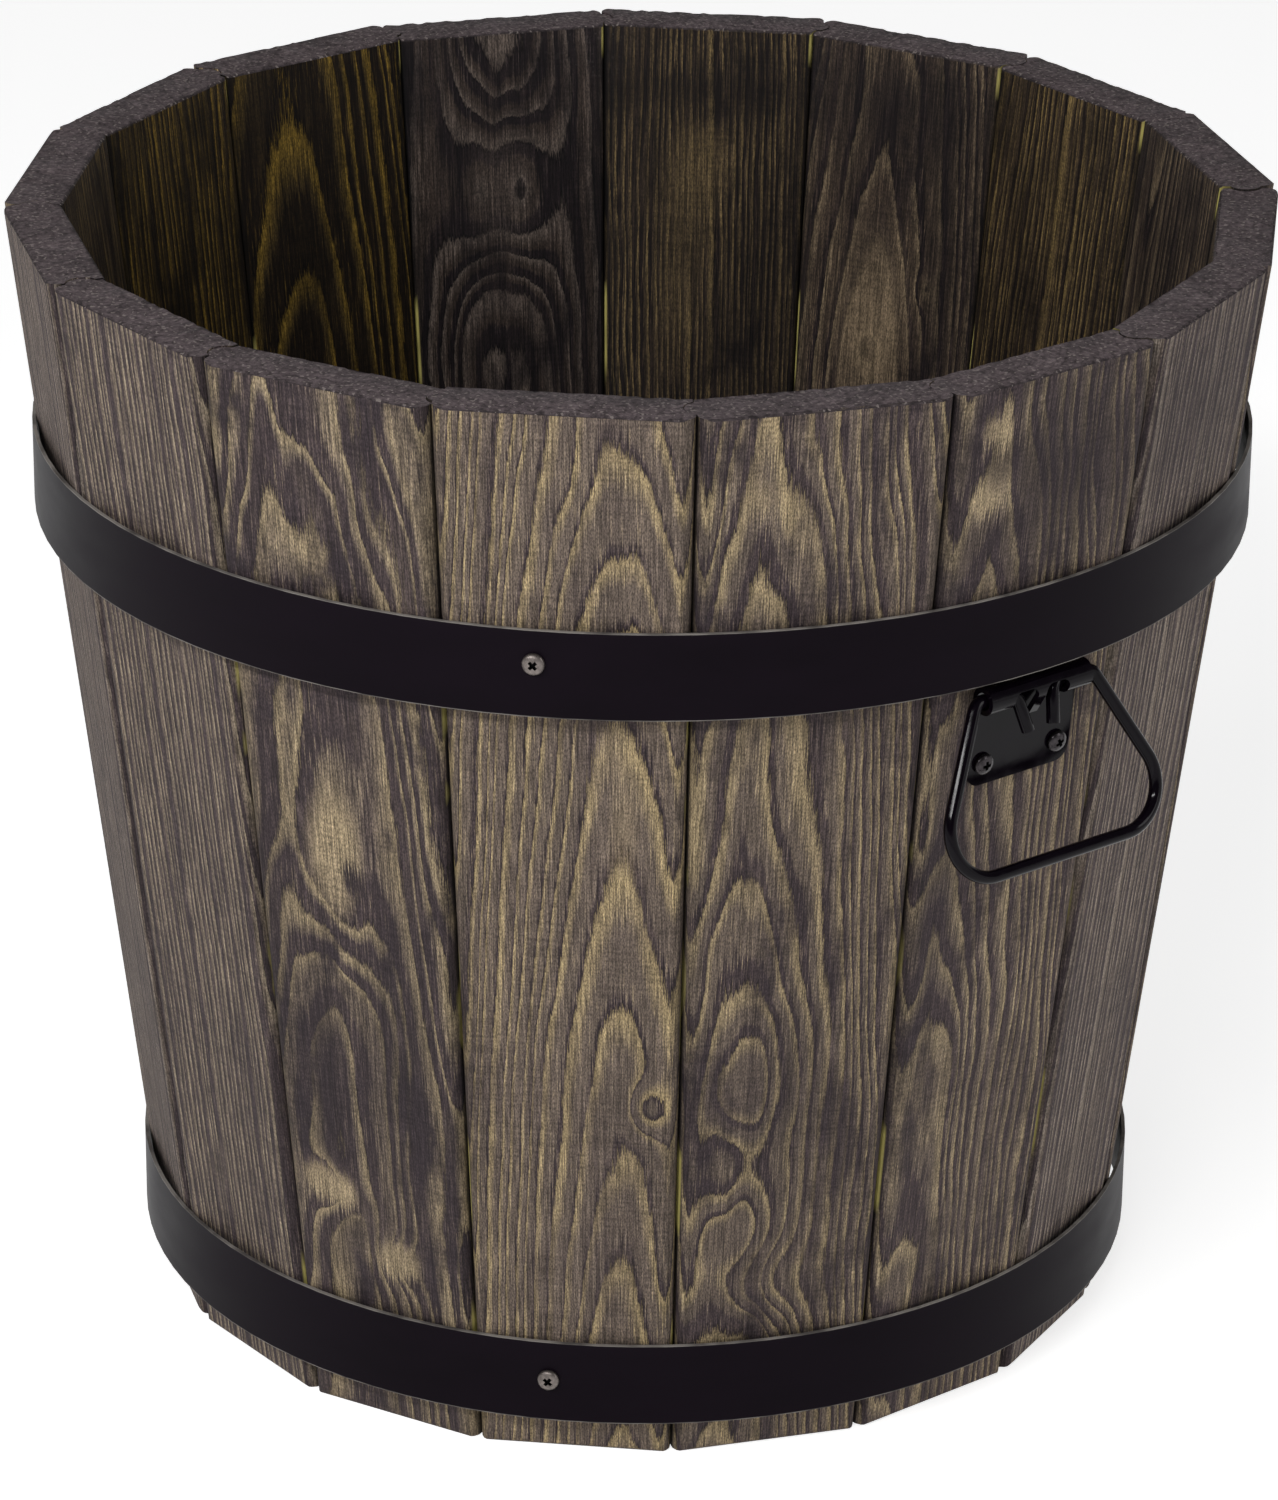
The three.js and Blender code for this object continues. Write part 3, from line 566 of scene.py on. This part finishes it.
def gloss_paint(steel):
    """
    Bent wire and pressed sheet under gloss black powder paint. The paint is smooth and deep, so
    the lamps show in it as long bright streaks, and it is a little matt in dusty spots.
    """
    made, add = new_material("gloss_powder_paint")
    seat = add("TexCoord")["Object"]
    dust = add("TexNoise", seat, named={"Scale": 1 / (6 * MM), "Detail": 4})[0]
    wave = add("TexNoise", seat, named={"Scale": 1 / (3.5 * MM), "Detail": 1})[0]
    shade = add("MapRange", dust, 0.35, 0.7, 0.85, 1.35)[0]
    skin = add("VectorMath", steel.handle[:3], named={"Scale": shade}, operation="SCALE")[0]
    gloss = add("MapRange", dust, 0.4, 0.7, 0.1, 0.16)[0]
    bump = add("Bump", named={"Strength": 0.1, "Distance": 0.1 * MM, "Height": wave})[0]
    shader = add("BsdfPrincipled", named={
        "Base Color": skin, "Roughness": gloss, "IOR": 1.5, "Specular IOR Level": 0.12,
        "Normal": bump})[0]
    add("OutputMaterial", shader)
    return made


def plated(name, plate, rough):
    """
    Cold-headed screws with a zinc plate. The plate is a metal with a broad soft shine, cloudy
    with handling. Made near black, the same finish is the painted shade down in the cross, with
    some dirt.
    """
    made, add = new_material(name)
    seat = add("TexCoord")["Object"]
    stain = add("TexNoise", seat, named={"Scale": 1 / (1.6 * MM), "Detail": 4})[0]
    shade = add("MapRange", stain, 0.3, 0.7, 0.6, 1.15)[0]
    skin = add("VectorMath", plate[:3], named={"Scale": shade}, operation="SCALE")[0]
    dull = add("MapRange", stain, 0.3, 0.7, rough + 0.12, rough - 0.06)[0]
    bump = add("Bump", named={"Strength": 0.2, "Distance": 0.05 * MM, "Height": stain})[0]
    shader = add("BsdfPrincipled", named={
        "Base Color": skin, "Roughness": dull, "Metallic": 0.85, "Normal": bump})[0]
    add("OutputMaterial", shader)
    return made


# ---- Working tools ----------------------------------------------------------------------------


def copy_of(node):
    """A CAD node's shape with its loose triangles joined into whole faces."""
    made = bmesh.new()
    made.from_mesh(frame["nodes"][node].data)
    bmesh.ops.remove_doubles(made, verts=made.verts, dist=JOIN)
    bmesh.ops.dissolve_limit(made, angle_limit=FLAT, verts=made.verts, edges=made.edges)
    return made


def shown(made, name):
    """A bmesh as an object in the scene, smooth but for its creases."""
    bmesh.ops.recalc_face_normals(made, faces=made.faces)
    mesh = bpy.data.meshes.new(name)
    made.to_mesh(mesh)
    made.free()
    return placed(mesh, name)


def placed(mesh, name):
    mesh.shade_smooth()
    mesh.set_sharp_from_angle(angle=CREASE)
    piece = bpy.data.objects.new(name, mesh)
    bpy.context.scene.collection.objects.link(piece)
    return piece


def finishes(piece, *materials):
    for material in materials:
        piece.data.materials.append(material)


def settle(piece, node, slot, *materials):
    """Makes a piece stand for a CAD node, on its body, with its finish."""
    finishes(piece, *materials)
    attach(piece, frame["nodes"][node]["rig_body"])
    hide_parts(node)
    return piece


def applied(piece):
    """Puts a piece's modifiers into its mesh."""
    graph = bpy.context.evaluated_depsgraph_get()
    mesh = bpy.data.meshes.new_from_object(piece.evaluated_get(graph))
    piece.modifiers.clear()
    piece.data = mesh
    return piece


def add_bevel(piece, width, segments=2, limit=CREASE):
    modifier = piece.modifiers.new("Edges", "BEVEL")
    modifier.width = width
    modifier.segments = segments
    modifier.limit_method = "ANGLE"
    modifier.angle_limit = limit
    modifier.harden_normals = False


def combine(piece, other, operation):
    """Takes another closed piece away from one, or joins it on."""
    modifier = piece.modifiers.new("Boolean", "BOOLEAN")
    modifier.operation = operation
    modifier.solver = "EXACT"
    modifier.object = other
    applied(piece)
    bpy.data.objects.remove(other)


def corners_of(geom):
    return [part for part in geom if isinstance(part, bmesh.types.BMVert)]


def edges_of(geom):
    return [part for part in geom if isinstance(part, bmesh.types.BMEdge)]


def drawn_out(made, edges, step):
    """Extrudes edges by a step and gives the new ones."""
    geom = bmesh.ops.extrude_edge_only(made, edges=edges)["geom"]
    bmesh.ops.translate(made, verts=corners_of(geom), vec=step)
    return edges_of(geom)


# ---- Staves and bottom ------------------------------------------------------------------------


def make_stave(number, step, chance, wood):
    """A stave with worn and chipped end edges, stopping a little short of the rim."""
    node = f"stave_{number:02d}"
    made = copy_of(node)
    taper = 60 * MM  # the stretch below the rim that takes up the step
    for corner in made.verts:
        rise = (corner.co.z - (HEIGHT - taper)) / taper
        if rise > 0:
            corner.co.z -= step * rise
    top = max(corner.co.z for corner in made.verts) - JOIN
    long = 20 * MM  # the edges along the stave's faces, and not those of its bead and cove
    arris = [edge for edge in made.edges
             if min(end.co.z for end in edge.verts) > top and edge.calc_length() > long]
    worn = bmesh.ops.subdivide_edges(made, edges=arris, cuts=30)["geom_inner"]
    for corner in corners_of(worn):
        corner.co.z -= chance.random() ** 3 * wood.worn_edge
    piece = shown(made, f"{node}_board")
    add_bevel(piece, wood.worn_edge, segments=3)
    return settle(piece, node, "charred_pine", stave_material(number, wood))


class PLANTER_OT_staves(bpy.types.Operator):
    """Finish the sixteen staves"""

    bl_idname = "planter.staves"
    bl_label = "Staves"

    def execute(self, context):
        wood = context.scene.planter_wood
        chance = random.Random(7)
        steps = [chance.random() * wood.rim_step for _ in range(STAVES)]
        steps[chance.randrange(STAVES)] = 0
        for number, step in enumerate(steps, start=1):
            make_stave(number, step, chance, wood)
        return {"FINISHED"}


class PLANTER_OT_bottom(bpy.types.Operator):
    """Finish the five boards of the bottom"""

    bl_idname = "planter.bottom"
    bl_label = "Bottom boards"

    def execute(self, context):
        wood = context.scene.planter_wood
        chance = random.Random(11)
        for number in range(1, BOTTOM_BOARDS + 1):
            node = f"bottom_board_{number}"
            low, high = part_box(node)
            figure = Figure(
                aside=chance.uniform(-20, 20), depth=chance.uniform(26, 50), spacing=3.4,
                drift=chance.choice((-0.04, 0.05)), glow=0.7, soot=0.6, tone=0.86)
            place = (-HEIGHT / 2, (low.y + high.y) / 2, high.z)
            material = pine(f"sawn_pine_board_{number}", place, (0, math.pi / 2, 0), figure, wood,
                            is_stave=False)
            piece = shown(copy_of(node), f"{node}_plank")
            add_bevel(piece, wood.worn_edge)
            settle(piece, node, "raw_pine", material)
        return {"FINISHED"}


# ---- Hoops, screws and rivets -----------------------------------------------------------------


class PLANTER_OT_hoops(bpy.types.Operator):
    """Finish the two hoops"""

    bl_idname = "planter.hoops"
    bl_label = "Hoops"

    def execute(self, context):
        steel = context.scene.planter_steel
        for node in HOOPS:
            piece = shown(copy_of(node), f"{node}_strap")
            add_bevel(piece, steel.hoop_edge, limit=math.radians(60))
            settle(piece, node, "black_hoop_steel", satin_paint(steel, node))
        return {"FINISHED"}


def turned(profile, steps):
    """Spins a profile of radius and height round the Z axis into a closed solid."""
    made = bmesh.new()
    corners = [made.verts.new((radius, 0, height)) for radius, height in profile]
    edges = [made.edges.new(pair) for pair in zip(corners, corners[1:])]
    bmesh.ops.spin(made, geom=corners + edges, cent=(0, 0, 0), axis=(0, 0, 1),
                   angle=math.tau, steps=steps, use_merge=True)
    bmesh.ops.remove_doubles(made, verts=made.verts, dist=JOIN)
    return made


def dome(radius, side, height, steps=6):
    """The profile of a pan head, from its side up to the middle of its top."""
    turns = [math.pi / 2 * i / steps for i in range(steps + 1)]
    return [(radius * math.cos(t), side + (height - side) * math.sin(t)) for t in turns]


def screw(shank, *skins):
    """A pan-head screw with a cross recess, its head's underside at the origin, pointing up."""
    profile = [(0, -shank), (SCREW_SHANK, -shank + 2 * SCREW_SHANK), (SCREW_SHANK, 0),
               (SCREW_HEAD - 0.15 * MM, 0), (SCREW_HEAD, 0.2 * MM),
               *dome(SCREW_HEAD, 0.8 * MM, SCREW_HEIGHT)]
    piece = shown(turned(profile, 40), "screw")
    finishes(piece, *skins)
    arm_length, arm_width, depth = 5.2 * MM, 1.5 * MM, 1.8 * MM
    for quarter in (0, math.pi / 2):
        tool = bmesh.new()
        arm = bmesh.ops.create_cube(tool, size=1)["verts"]
        bmesh.ops.scale(tool, vec=(arm_length, arm_width, 2 * depth), verts=arm)
        deep = [corner for corner in arm if corner.co.z < 0]
        bmesh.ops.scale(tool, vec=(0.45, 0.7, 1), verts=deep)
        bmesh.ops.rotate(tool, verts=arm, matrix=Matrix.Rotation(quarter, 3, "Z"))
        bmesh.ops.translate(tool, verts=arm, vec=(0, 0, SCREW_HEIGHT))
        # The cutter's faces line the cross and take the second finish: painted shade down in the
        # recess.
        for face in tool.faces:
            face.material_index = 1
        cutter = shown(tool, "cross_arm")
        finishes(cutter, *skins)
        combine(piece, cutter, "DIFFERENCE")
    return piece


def rivet():
    """A rivet with its head's underside a hair above the origin, and its tail clenched below."""
    seat, tail_top, tail_foot = 0.4 * MM, -3.5 * MM, -4.6 * MM
    profile = [(0, tail_foot), (RIVET_TAIL, tail_foot), (RIVET_TAIL, tail_top),
               (RIVET_SHANK, tail_top), (RIVET_SHANK, seat), (RIVET_HEAD, seat),
               *dome(RIVET_HEAD, seat + 0.1 * MM, RIVET_RISE)]
    return shown(turned(profile, 40), "rivet")


def stand(prototype, name, place):
    """A copy of a finished mesh, moved to its place."""
    mesh = prototype.data.copy()
    mesh.transform(place)
    return placed(mesh, name)


def facing(outwards, seat, turn=0):
    """Turns +Z to face outwards and puts the origin at the seat."""
    face = outwards.to_track_quat("Z", "Y").to_matrix().to_4x4()
    return Matrix.Translation(seat) @ face @ Matrix.Rotation(turn, 4, "Z")


def seat_of(node, rise):
    """The place of a level fastener whose head rises so far above its seat."""
    corners = [corner.co for corner in frame["nodes"][node].data.vertices]
    middle = sum(corners, Vector()) / len(corners)
    outwards = Vector((middle.x, middle.y, 0)).normalized()
    tip = max(corner.dot(outwards) for corner in corners)
    return facing(outwards, middle + outwards * (tip - rise - middle.dot(outwards)))


class PLANTER_OT_fasteners(bpy.types.Operator):
    """Finish the screws and rivets of the hoops and handles"""

    bl_idname = "planter.fasteners"
    bl_label = "Screws and rivets"

    def execute(self, context):
        steel = context.scene.planter_steel
        chance = random.Random(5)
        # A near-black finish for the crosses: painted shade down in the recess, with some dirt.
        recess_shade = plated("painted_shade_screw_recess", steel.recess, rough=0.7)
        plate = plated("dark_zinc_plate", steel.zinc, rough=0.38)
        hoop_screw = screw(HOOP_SCREW_LENGTH, plate, recess_shade)
        black_plate = plated("black_zinc_plate", steel.black_zinc, rough=0.22)
        handle_screw = screw(HANDLE_SCREW_LENGTH, black_plate, recess_shade)
        closing = rivet()
        for hoop in HOOPS:
            for number in (1, 2, 3):
                node = f"{hoop}_screw_{number}"
                place = seat_of(node, SCREW_HEIGHT) @ Matrix.Rotation(chance.random(), 4, "Z")
                settle(stand(hoop_screw, f"{node}_head", place), node, "dark_zinc")
        for hoop in HOOPS:
            paint = bpy.data.materials["satin_painted_strap_" + hoop]
            for number in (1, 2):
                node = f"{hoop}_rivet_{number}"
                piece = stand(closing, f"{node}_head", seat_of(node, RIVET_RISE))
                settle(piece, node, "black_hoop_steel", paint)
        for side, bearing in SIDES:
            handle = handle_place(bearing)
            for number in (1, 2):
                node = f"{side}_handle_screw_{number}"
                low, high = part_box(node)
                seat = HANDLE_SCREW.copy()
                seat.y = math.copysign(seat.y, (handle.inverted() @ (low + high) / 2).y)
                place = handle @ facing(Vector((1, 0, 0)), seat, chance.random())
                settle(stand(handle_screw, f"{node}_head", place), node, "dark_zinc")
        for prototype in (hoop_screw, handle_screw, closing):
            bpy.data.objects.remove(prototype)
        return {"FINISHED"}


# ---- Handles ----------------------------------------------------------------------------------
# A handle is made with its hinge at the origin: X away from the wood, Y round the barrel and Z up
# the stave. Then it goes to its own side of the barrel.


def handle_place(bearing):
    """From a handle's own frame to its place on the barrel."""
    return (Matrix.Rotation(bearing, 4, "Z") @ Matrix.Translation(HINGE)
            @ Matrix.Rotation(LEAN, 4, "Y"))


def wire_corners():
    """The corners of the bent wire and their roundings, from one cut end to the other."""
    shoulder_round, grip_round = 5 * MM, 17.5 * MM
    clear = 0.5 * MM  # between the bracket's side and the start of the shoulder's bend
    shoulder = (BRACKET_WIDTH / 2 + clear
                + shoulder_round * math.tan((math.pi / 2 - WIRE_SPREAD) / 2))
    drop = 62.3 * MM  # from the hinge to the grip
    reach, place = 15.2 * MM, 8.9 * MM  # how far an end hangs down, and how far out it starts
    slant = math.radians(11)  # how far the ends lean together
    half = [
        (place - reach * math.tan(slant), reach, 0),
        (place, 0, shoulder_round),
        (shoulder, 0, shoulder_round),
        (shoulder + drop * math.tan(WIRE_SPREAD), drop, grip_round),
    ]
    whole = half + [(-across, down, bend) for across, down, bend in reversed(half)]
    return [(Vector((0, across, -down)), bend) for across, down, bend in whole]


def bent_wire():
    """A round wire drawn out straight between its corners and spun round each bend."""
    corners = wire_corners()
    made = bmesh.new()
    here = corners[0][0]
    heading = (corners[1][0] - here).normalized()
    ring = bmesh.ops.create_circle(made, cap_ends=False, segments=24, radius=WIRE_RADIUS)["verts"]
    bmesh.ops.transform(made, verts=ring, matrix=facing(heading, here))
    edges = made.edges[:]
    for (before, _), (corner, bend), (after, _) in zip(corners, corners[1:], corners[2:]):
        heading = (corner - before).normalized()
        onward = (after - corner).normalized()
        turn = heading.angle(onward)
        start = corner - heading * bend * math.tan(turn / 2)
        edges = drawn_out(made, edges, start - here)
        axis = heading.cross(onward).normalized()
        centre = start + axis.cross(heading) * bend
        steps = max(6, round(math.degrees(turn) / 5))
        geom = [*edges, *{end for edge in edges for end in edge.verts}]
        spun = bmesh.ops.spin(made, geom=geom, cent=centre, axis=axis, angle=turn, steps=steps)
        edges = edges_of(spun["geom_last"])
        here = corner + onward * bend * math.tan(turn / 2)
    drawn_out(made, edges, corners[-1][0] - here)
    bmesh.ops.holes_fill(made, edges=made.edges, sides=0)
    bmesh.ops.transform(made, verts=made.verts, matrix=Matrix.Rotation(-REST_ANGLE, 4, "Y"))
    return made


def sheet_profile(is_tongue):
    """The sheet's middle line: up the stave, over the wire and round, or straight down."""
    made = bmesh.new()
    middle = KNUCKLE_INSIDE + SHEET / 2
    half = TONGUE_WIDTH / 2 if is_tongue else BRACKET_WIDTH / 2
    ends = [made.verts.new((-middle, side * half, -BRACKET_TAIL)) for side in (-1, 1)]
    edges = drawn_out(made, [made.edges.new(ends)], (0, 0, BRACKET_TAIL))
    turn = math.pi + (TONGUE_ANGLE if is_tongue else LIP_ANGLE)
    geom = [*edges, *edges[0].verts]
    spun = bmesh.ops.spin(made, geom=geom, cent=(0, 0, 0), axis=(0, 1, 0), angle=turn,
                          steps=round(math.degrees(turn) / 5))
    if is_tongue:
        down = Vector((-math.sin(TONGUE_ANGLE), 0, -math.cos(TONGUE_ANGLE))) * TONGUE_LENGTH
        drawn_out(made, edges_of(spun["geom_last"]), down)
    else:
        foot = [corner for corner in made.verts if corner.co.z < -BRACKET_TAIL + JOIN]
        bmesh.ops.bevel(made, geom=foot, offset=BRACKET_CORNER, segments=8, profile=0.5,
                        affect="VERTICES", material=-1)
    return made


def thickened(made, name):
    piece = shown(made, name)
    modifier = piece.modifiers.new("Sheet", "SOLIDIFY")
    modifier.thickness = SHEET
    modifier.offset = 0
    return applied(piece)


def slot_tool(side):
    """What the press takes out of the knuckle for one wire end."""
    made = bmesh.new()
    foot = 1.5 * (KNUCKLE_INSIDE + SHEET)
    bmesh.ops.create_grid(made, x_segments=1, y_segments=1, size=0.5)
    bmesh.ops.scale(made, vec=(SLOT_WIDTH, SLOT_HEAD + foot, 1), verts=made.verts)
    bmesh.ops.translate(made, vec=(0, (SLOT_HEAD - foot) / 2, 0), verts=made.verts)
    bmesh.ops.bevel(made, geom=made.verts[:], offset=SLOT_ROUND, segments=6, profile=0.5,
                    affect="VERTICES", material=-1)
    # The panel lies in X and Y. It stands up in Y and Z, and then gets its depth along X.
    upright = Matrix(((0, 0, 1), (1, 0, 0), (0, 1, 0))).to_4x4()
    bmesh.ops.transform(made, verts=made.verts, matrix=upright)
    bmesh.ops.translate(made, verts=made.verts, vec=(-KNUCKLE_INSIDE / 2, 0, 0))
    deep = bmesh.ops.extrude_face_region(made, geom=made.faces[:])["geom"]
    bmesh.ops.translate(made, verts=corners_of(deep), vec=(3 * KNUCKLE_INSIDE, 0, 0))
    aside = side * (SLOT_WIDTH + TONGUE_WIDTH) / 2
    place = Matrix.Translation((0, aside, 0)) @ Matrix.Rotation(SLOT_TURN, 4, "Y")
    bmesh.ops.transform(made, verts=made.verts, matrix=place)
    return shown(made, "slot_tool")


def tongue_tool():
    """What is taken from the roll behind the tongue."""
    made = bmesh.new()
    reach = KNUCKLE_INSIDE + SHEET + 0.5 * MM
    bmesh.ops.create_cube(made, size=1)
    bmesh.ops.scale(made, vec=(reach, SLOT_WIDTH + TONGUE_WIDTH, reach), verts=made.verts)
    place = Matrix.Rotation(TONGUE_ANGLE, 4, "Y") @ Matrix.Translation((reach / 2, 0, -reach / 2))
    bmesh.ops.transform(made, verts=made.verts, matrix=place)
    return shown(made, "tongue_tool")


def bracket():
    """The pressed sheet: plate, knuckle, two slots and the tongue between them."""
    sheet = thickened(sheet_profile(is_tongue=False), "bracket")
    for tool in (slot_tool(-1), slot_tool(1), tongue_tool()):
        combine(sheet, tool, "DIFFERENCE")
    combine(sheet, thickened(sheet_profile(is_tongue=True), "tongue"), "UNION")
    add_bevel(sheet, SHEET_EDGE)
    return applied(sheet)


class PLANTER_OT_handles(bpy.types.Operator):
    """Finish the two handles' wire loops and brackets"""

    bl_idname = "planter.handles"
    bl_label = "Handles"

    def execute(self, context):
        paint = gloss_paint(context.scene.planter_steel)
        loop = shown(bent_wire(), "wire")
        add_bevel(loop, WIRE_EDGE)
        applied(loop)
        sheet = bracket()
        for side, bearing in SIDES:
            for prototype, node, name in ((loop, "loop", "wire"), (sheet, "bracket", "sheet")):
                cad = f"{side}_handle_{node}"
                piece = stand(prototype, f"{cad}_{name}", handle_place(bearing))
                settle(piece, cad, "black_handle_steel", paint)
        bpy.data.objects.remove(loop)
        bpy.data.objects.remove(sheet)
        return {"FINISHED"}


# ---- Stage ------------------------------------------------------------------------------------


def aim_camera(stage):
    camera = bpy.data.objects.new("camera", bpy.data.cameras.new("camera"))
    bpy.context.scene.collection.objects.link(camera)
    bpy.context.scene.camera = camera
    level = math.cos(stage.elevation)
    back = Vector((math.sin(stage.azimuth) * level, -math.cos(stage.azimuth) * level,
                   math.sin(stage.elevation)))
    right = Vector((math.cos(stage.azimuth), math.sin(stage.azimuth), 0))
    straight = Matrix((right, back.cross(right), back)).transposed().to_4x4()
    camera.matrix_world = (Matrix.Translation(Vector((0, 0, stage.aim)) + back * stage.distance)
                           @ straight @ Matrix.Rotation(stage.roll, 4, "Z"))
    camera.data.lens = stage.lens
    camera.data.sensor_width = 36
    camera.data.clip_start = 0.05
    camera.data.clip_end = 50
    return back, right


def seen_straight(add):
    """1 for what the camera sees, straight on or in gloss or glass, and 0 for lighting."""
    path = add("LightPath")
    seen = add("Math", path["Is Camera Ray"], path["Is Glossy Ray"], operation="MAXIMUM")[0]
    return add("Math", seen, path["Is Transmission Ray"], operation="MAXIMUM")[0]


def light_world():
    """A white backdrop a little way up from the horizon, and a dim studio above it."""
    world = bpy.data.worlds.new("studio")
    bpy.context.scene.world = world
    world.use_nodes = True
    world.node_tree.nodes.clear()
    add = adder(world.node_tree)
    height = add("SeparateXYZ", add("TexCoord")["Generated"])[2]
    backdrop = add("MapRange", height, 0.12, 0.25, 1, 0.14, interpolation_type="SMOOTHSTEP")[0]
    background = add("Background", (1, 1, 1, 1), backdrop)[0]
    add("OutputWorld", background)


def lay_floor(stage):
    made, add = new_material("pale_floor")
    diffuse = add("BsdfDiffuse", stage.floor)[0]
    strength = add("Math", seen_straight(add), FLOOR_GLOW, operation="MULTIPLY")[0]
    glow = add("Emission", (1, 1, 1, 1), strength)[0]
    add("OutputMaterial", add("AddShader", diffuse, glow)[0])
    ground = bmesh.new()
    bmesh.ops.create_grid(ground, x_segments=1, y_segments=1, size=15)
    bmesh.ops.translate(ground, verts=ground.verts, vec=(0, 0, -0.2 * MM))
    floor = shown(ground, "floor")
    finishes(floor, made)


def hang_lamp(name, place, size, watts):
    lamp = bpy.data.lights.new(name, "AREA")
    lamp.shape = "RECTANGLE"
    lamp.size, lamp.size_y = size
    lamp.energy = watts
    made = bpy.data.objects.new(name, lamp)
    bpy.context.scene.collection.objects.link(made)
    made.location = place
    made.rotation_euler = (place - LAMP_AIM).to_track_quat("Z", "Y").to_euler()


class PLANTER_OT_stage(bpy.types.Operator):
    """Set up the floor, the lamps and the camera"""

    bl_idname = "planter.stage"
    bl_label = "Stage"

    def execute(self, context):
        stage = context.scene.planter_stage
        back, right = aim_camera(stage)
        front = Vector((back.x, back.y, 0)).normalized()
        up = Vector((0, 0, 1))
        hang_lamp("left_softbox", front * 1.7 - right * 1.0 + up * 1.75, (2.2, 0.14), watts=36)
        hang_lamp("right_softbox", front * 0.9 + right * 1.9 + up * 1.2, (0.5, 1.2), watts=7)
        light_world()
        lay_floor(stage)
        context.scene.view_settings.view_transform = "Standard"
        return {"FINISHED"}


# ---- Panel, registration and main -------------------------------------------------------------


class PLANTER_PT_panel(bpy.types.Panel):
    """The steps that finish the planter"""

    bl_label = "Barrel planter"
    bl_idname = "PLANTER_PT_panel"
    bl_space_type = "VIEW_3D"
    bl_region_type = "UI"
    bl_category = "Planter"

    def draw(self, context):
        for name, kind in GROUPS.items():
            box = self.layout.box()
            for field in kind.__annotations__:
                box.prop(getattr(context.scene, name), field)
        for step in STEPS:
            self.layout.operator(step.bl_idname)


STEPS = (
    PLANTER_OT_stage, PLANTER_OT_staves, PLANTER_OT_bottom, PLANTER_OT_hoops,
    PLANTER_OT_fasteners, PLANTER_OT_handles,
)
GROUPS = {
    "planter_wood": PlanterWood, "planter_steel": PlanterSteel, "planter_stage": PlanterStage,
}


def register():
    for kind in (*GROUPS.values(), *STEPS, PLANTER_PT_panel):
        bpy.utils.register_class(kind)
    for name, kind in GROUPS.items():
        setattr(bpy.types.Scene, name, bpy.props.PointerProperty(type=kind))


def unregister():
    for name in GROUPS:
        delattr(bpy.types.Scene, name)
    for kind in reversed((*GROUPS.values(), *STEPS, PLANTER_PT_panel)):
        bpy.utils.unregister_class(kind)


def main():
    register()
    bpy.ops.planter.stage()
    bpy.ops.planter.staves()
    bpy.ops.planter.bottom()
    bpy.ops.planter.hoops()
    bpy.ops.planter.fasteners()
    bpy.ops.planter.handles()


if __name__ == "__main__":
    main()
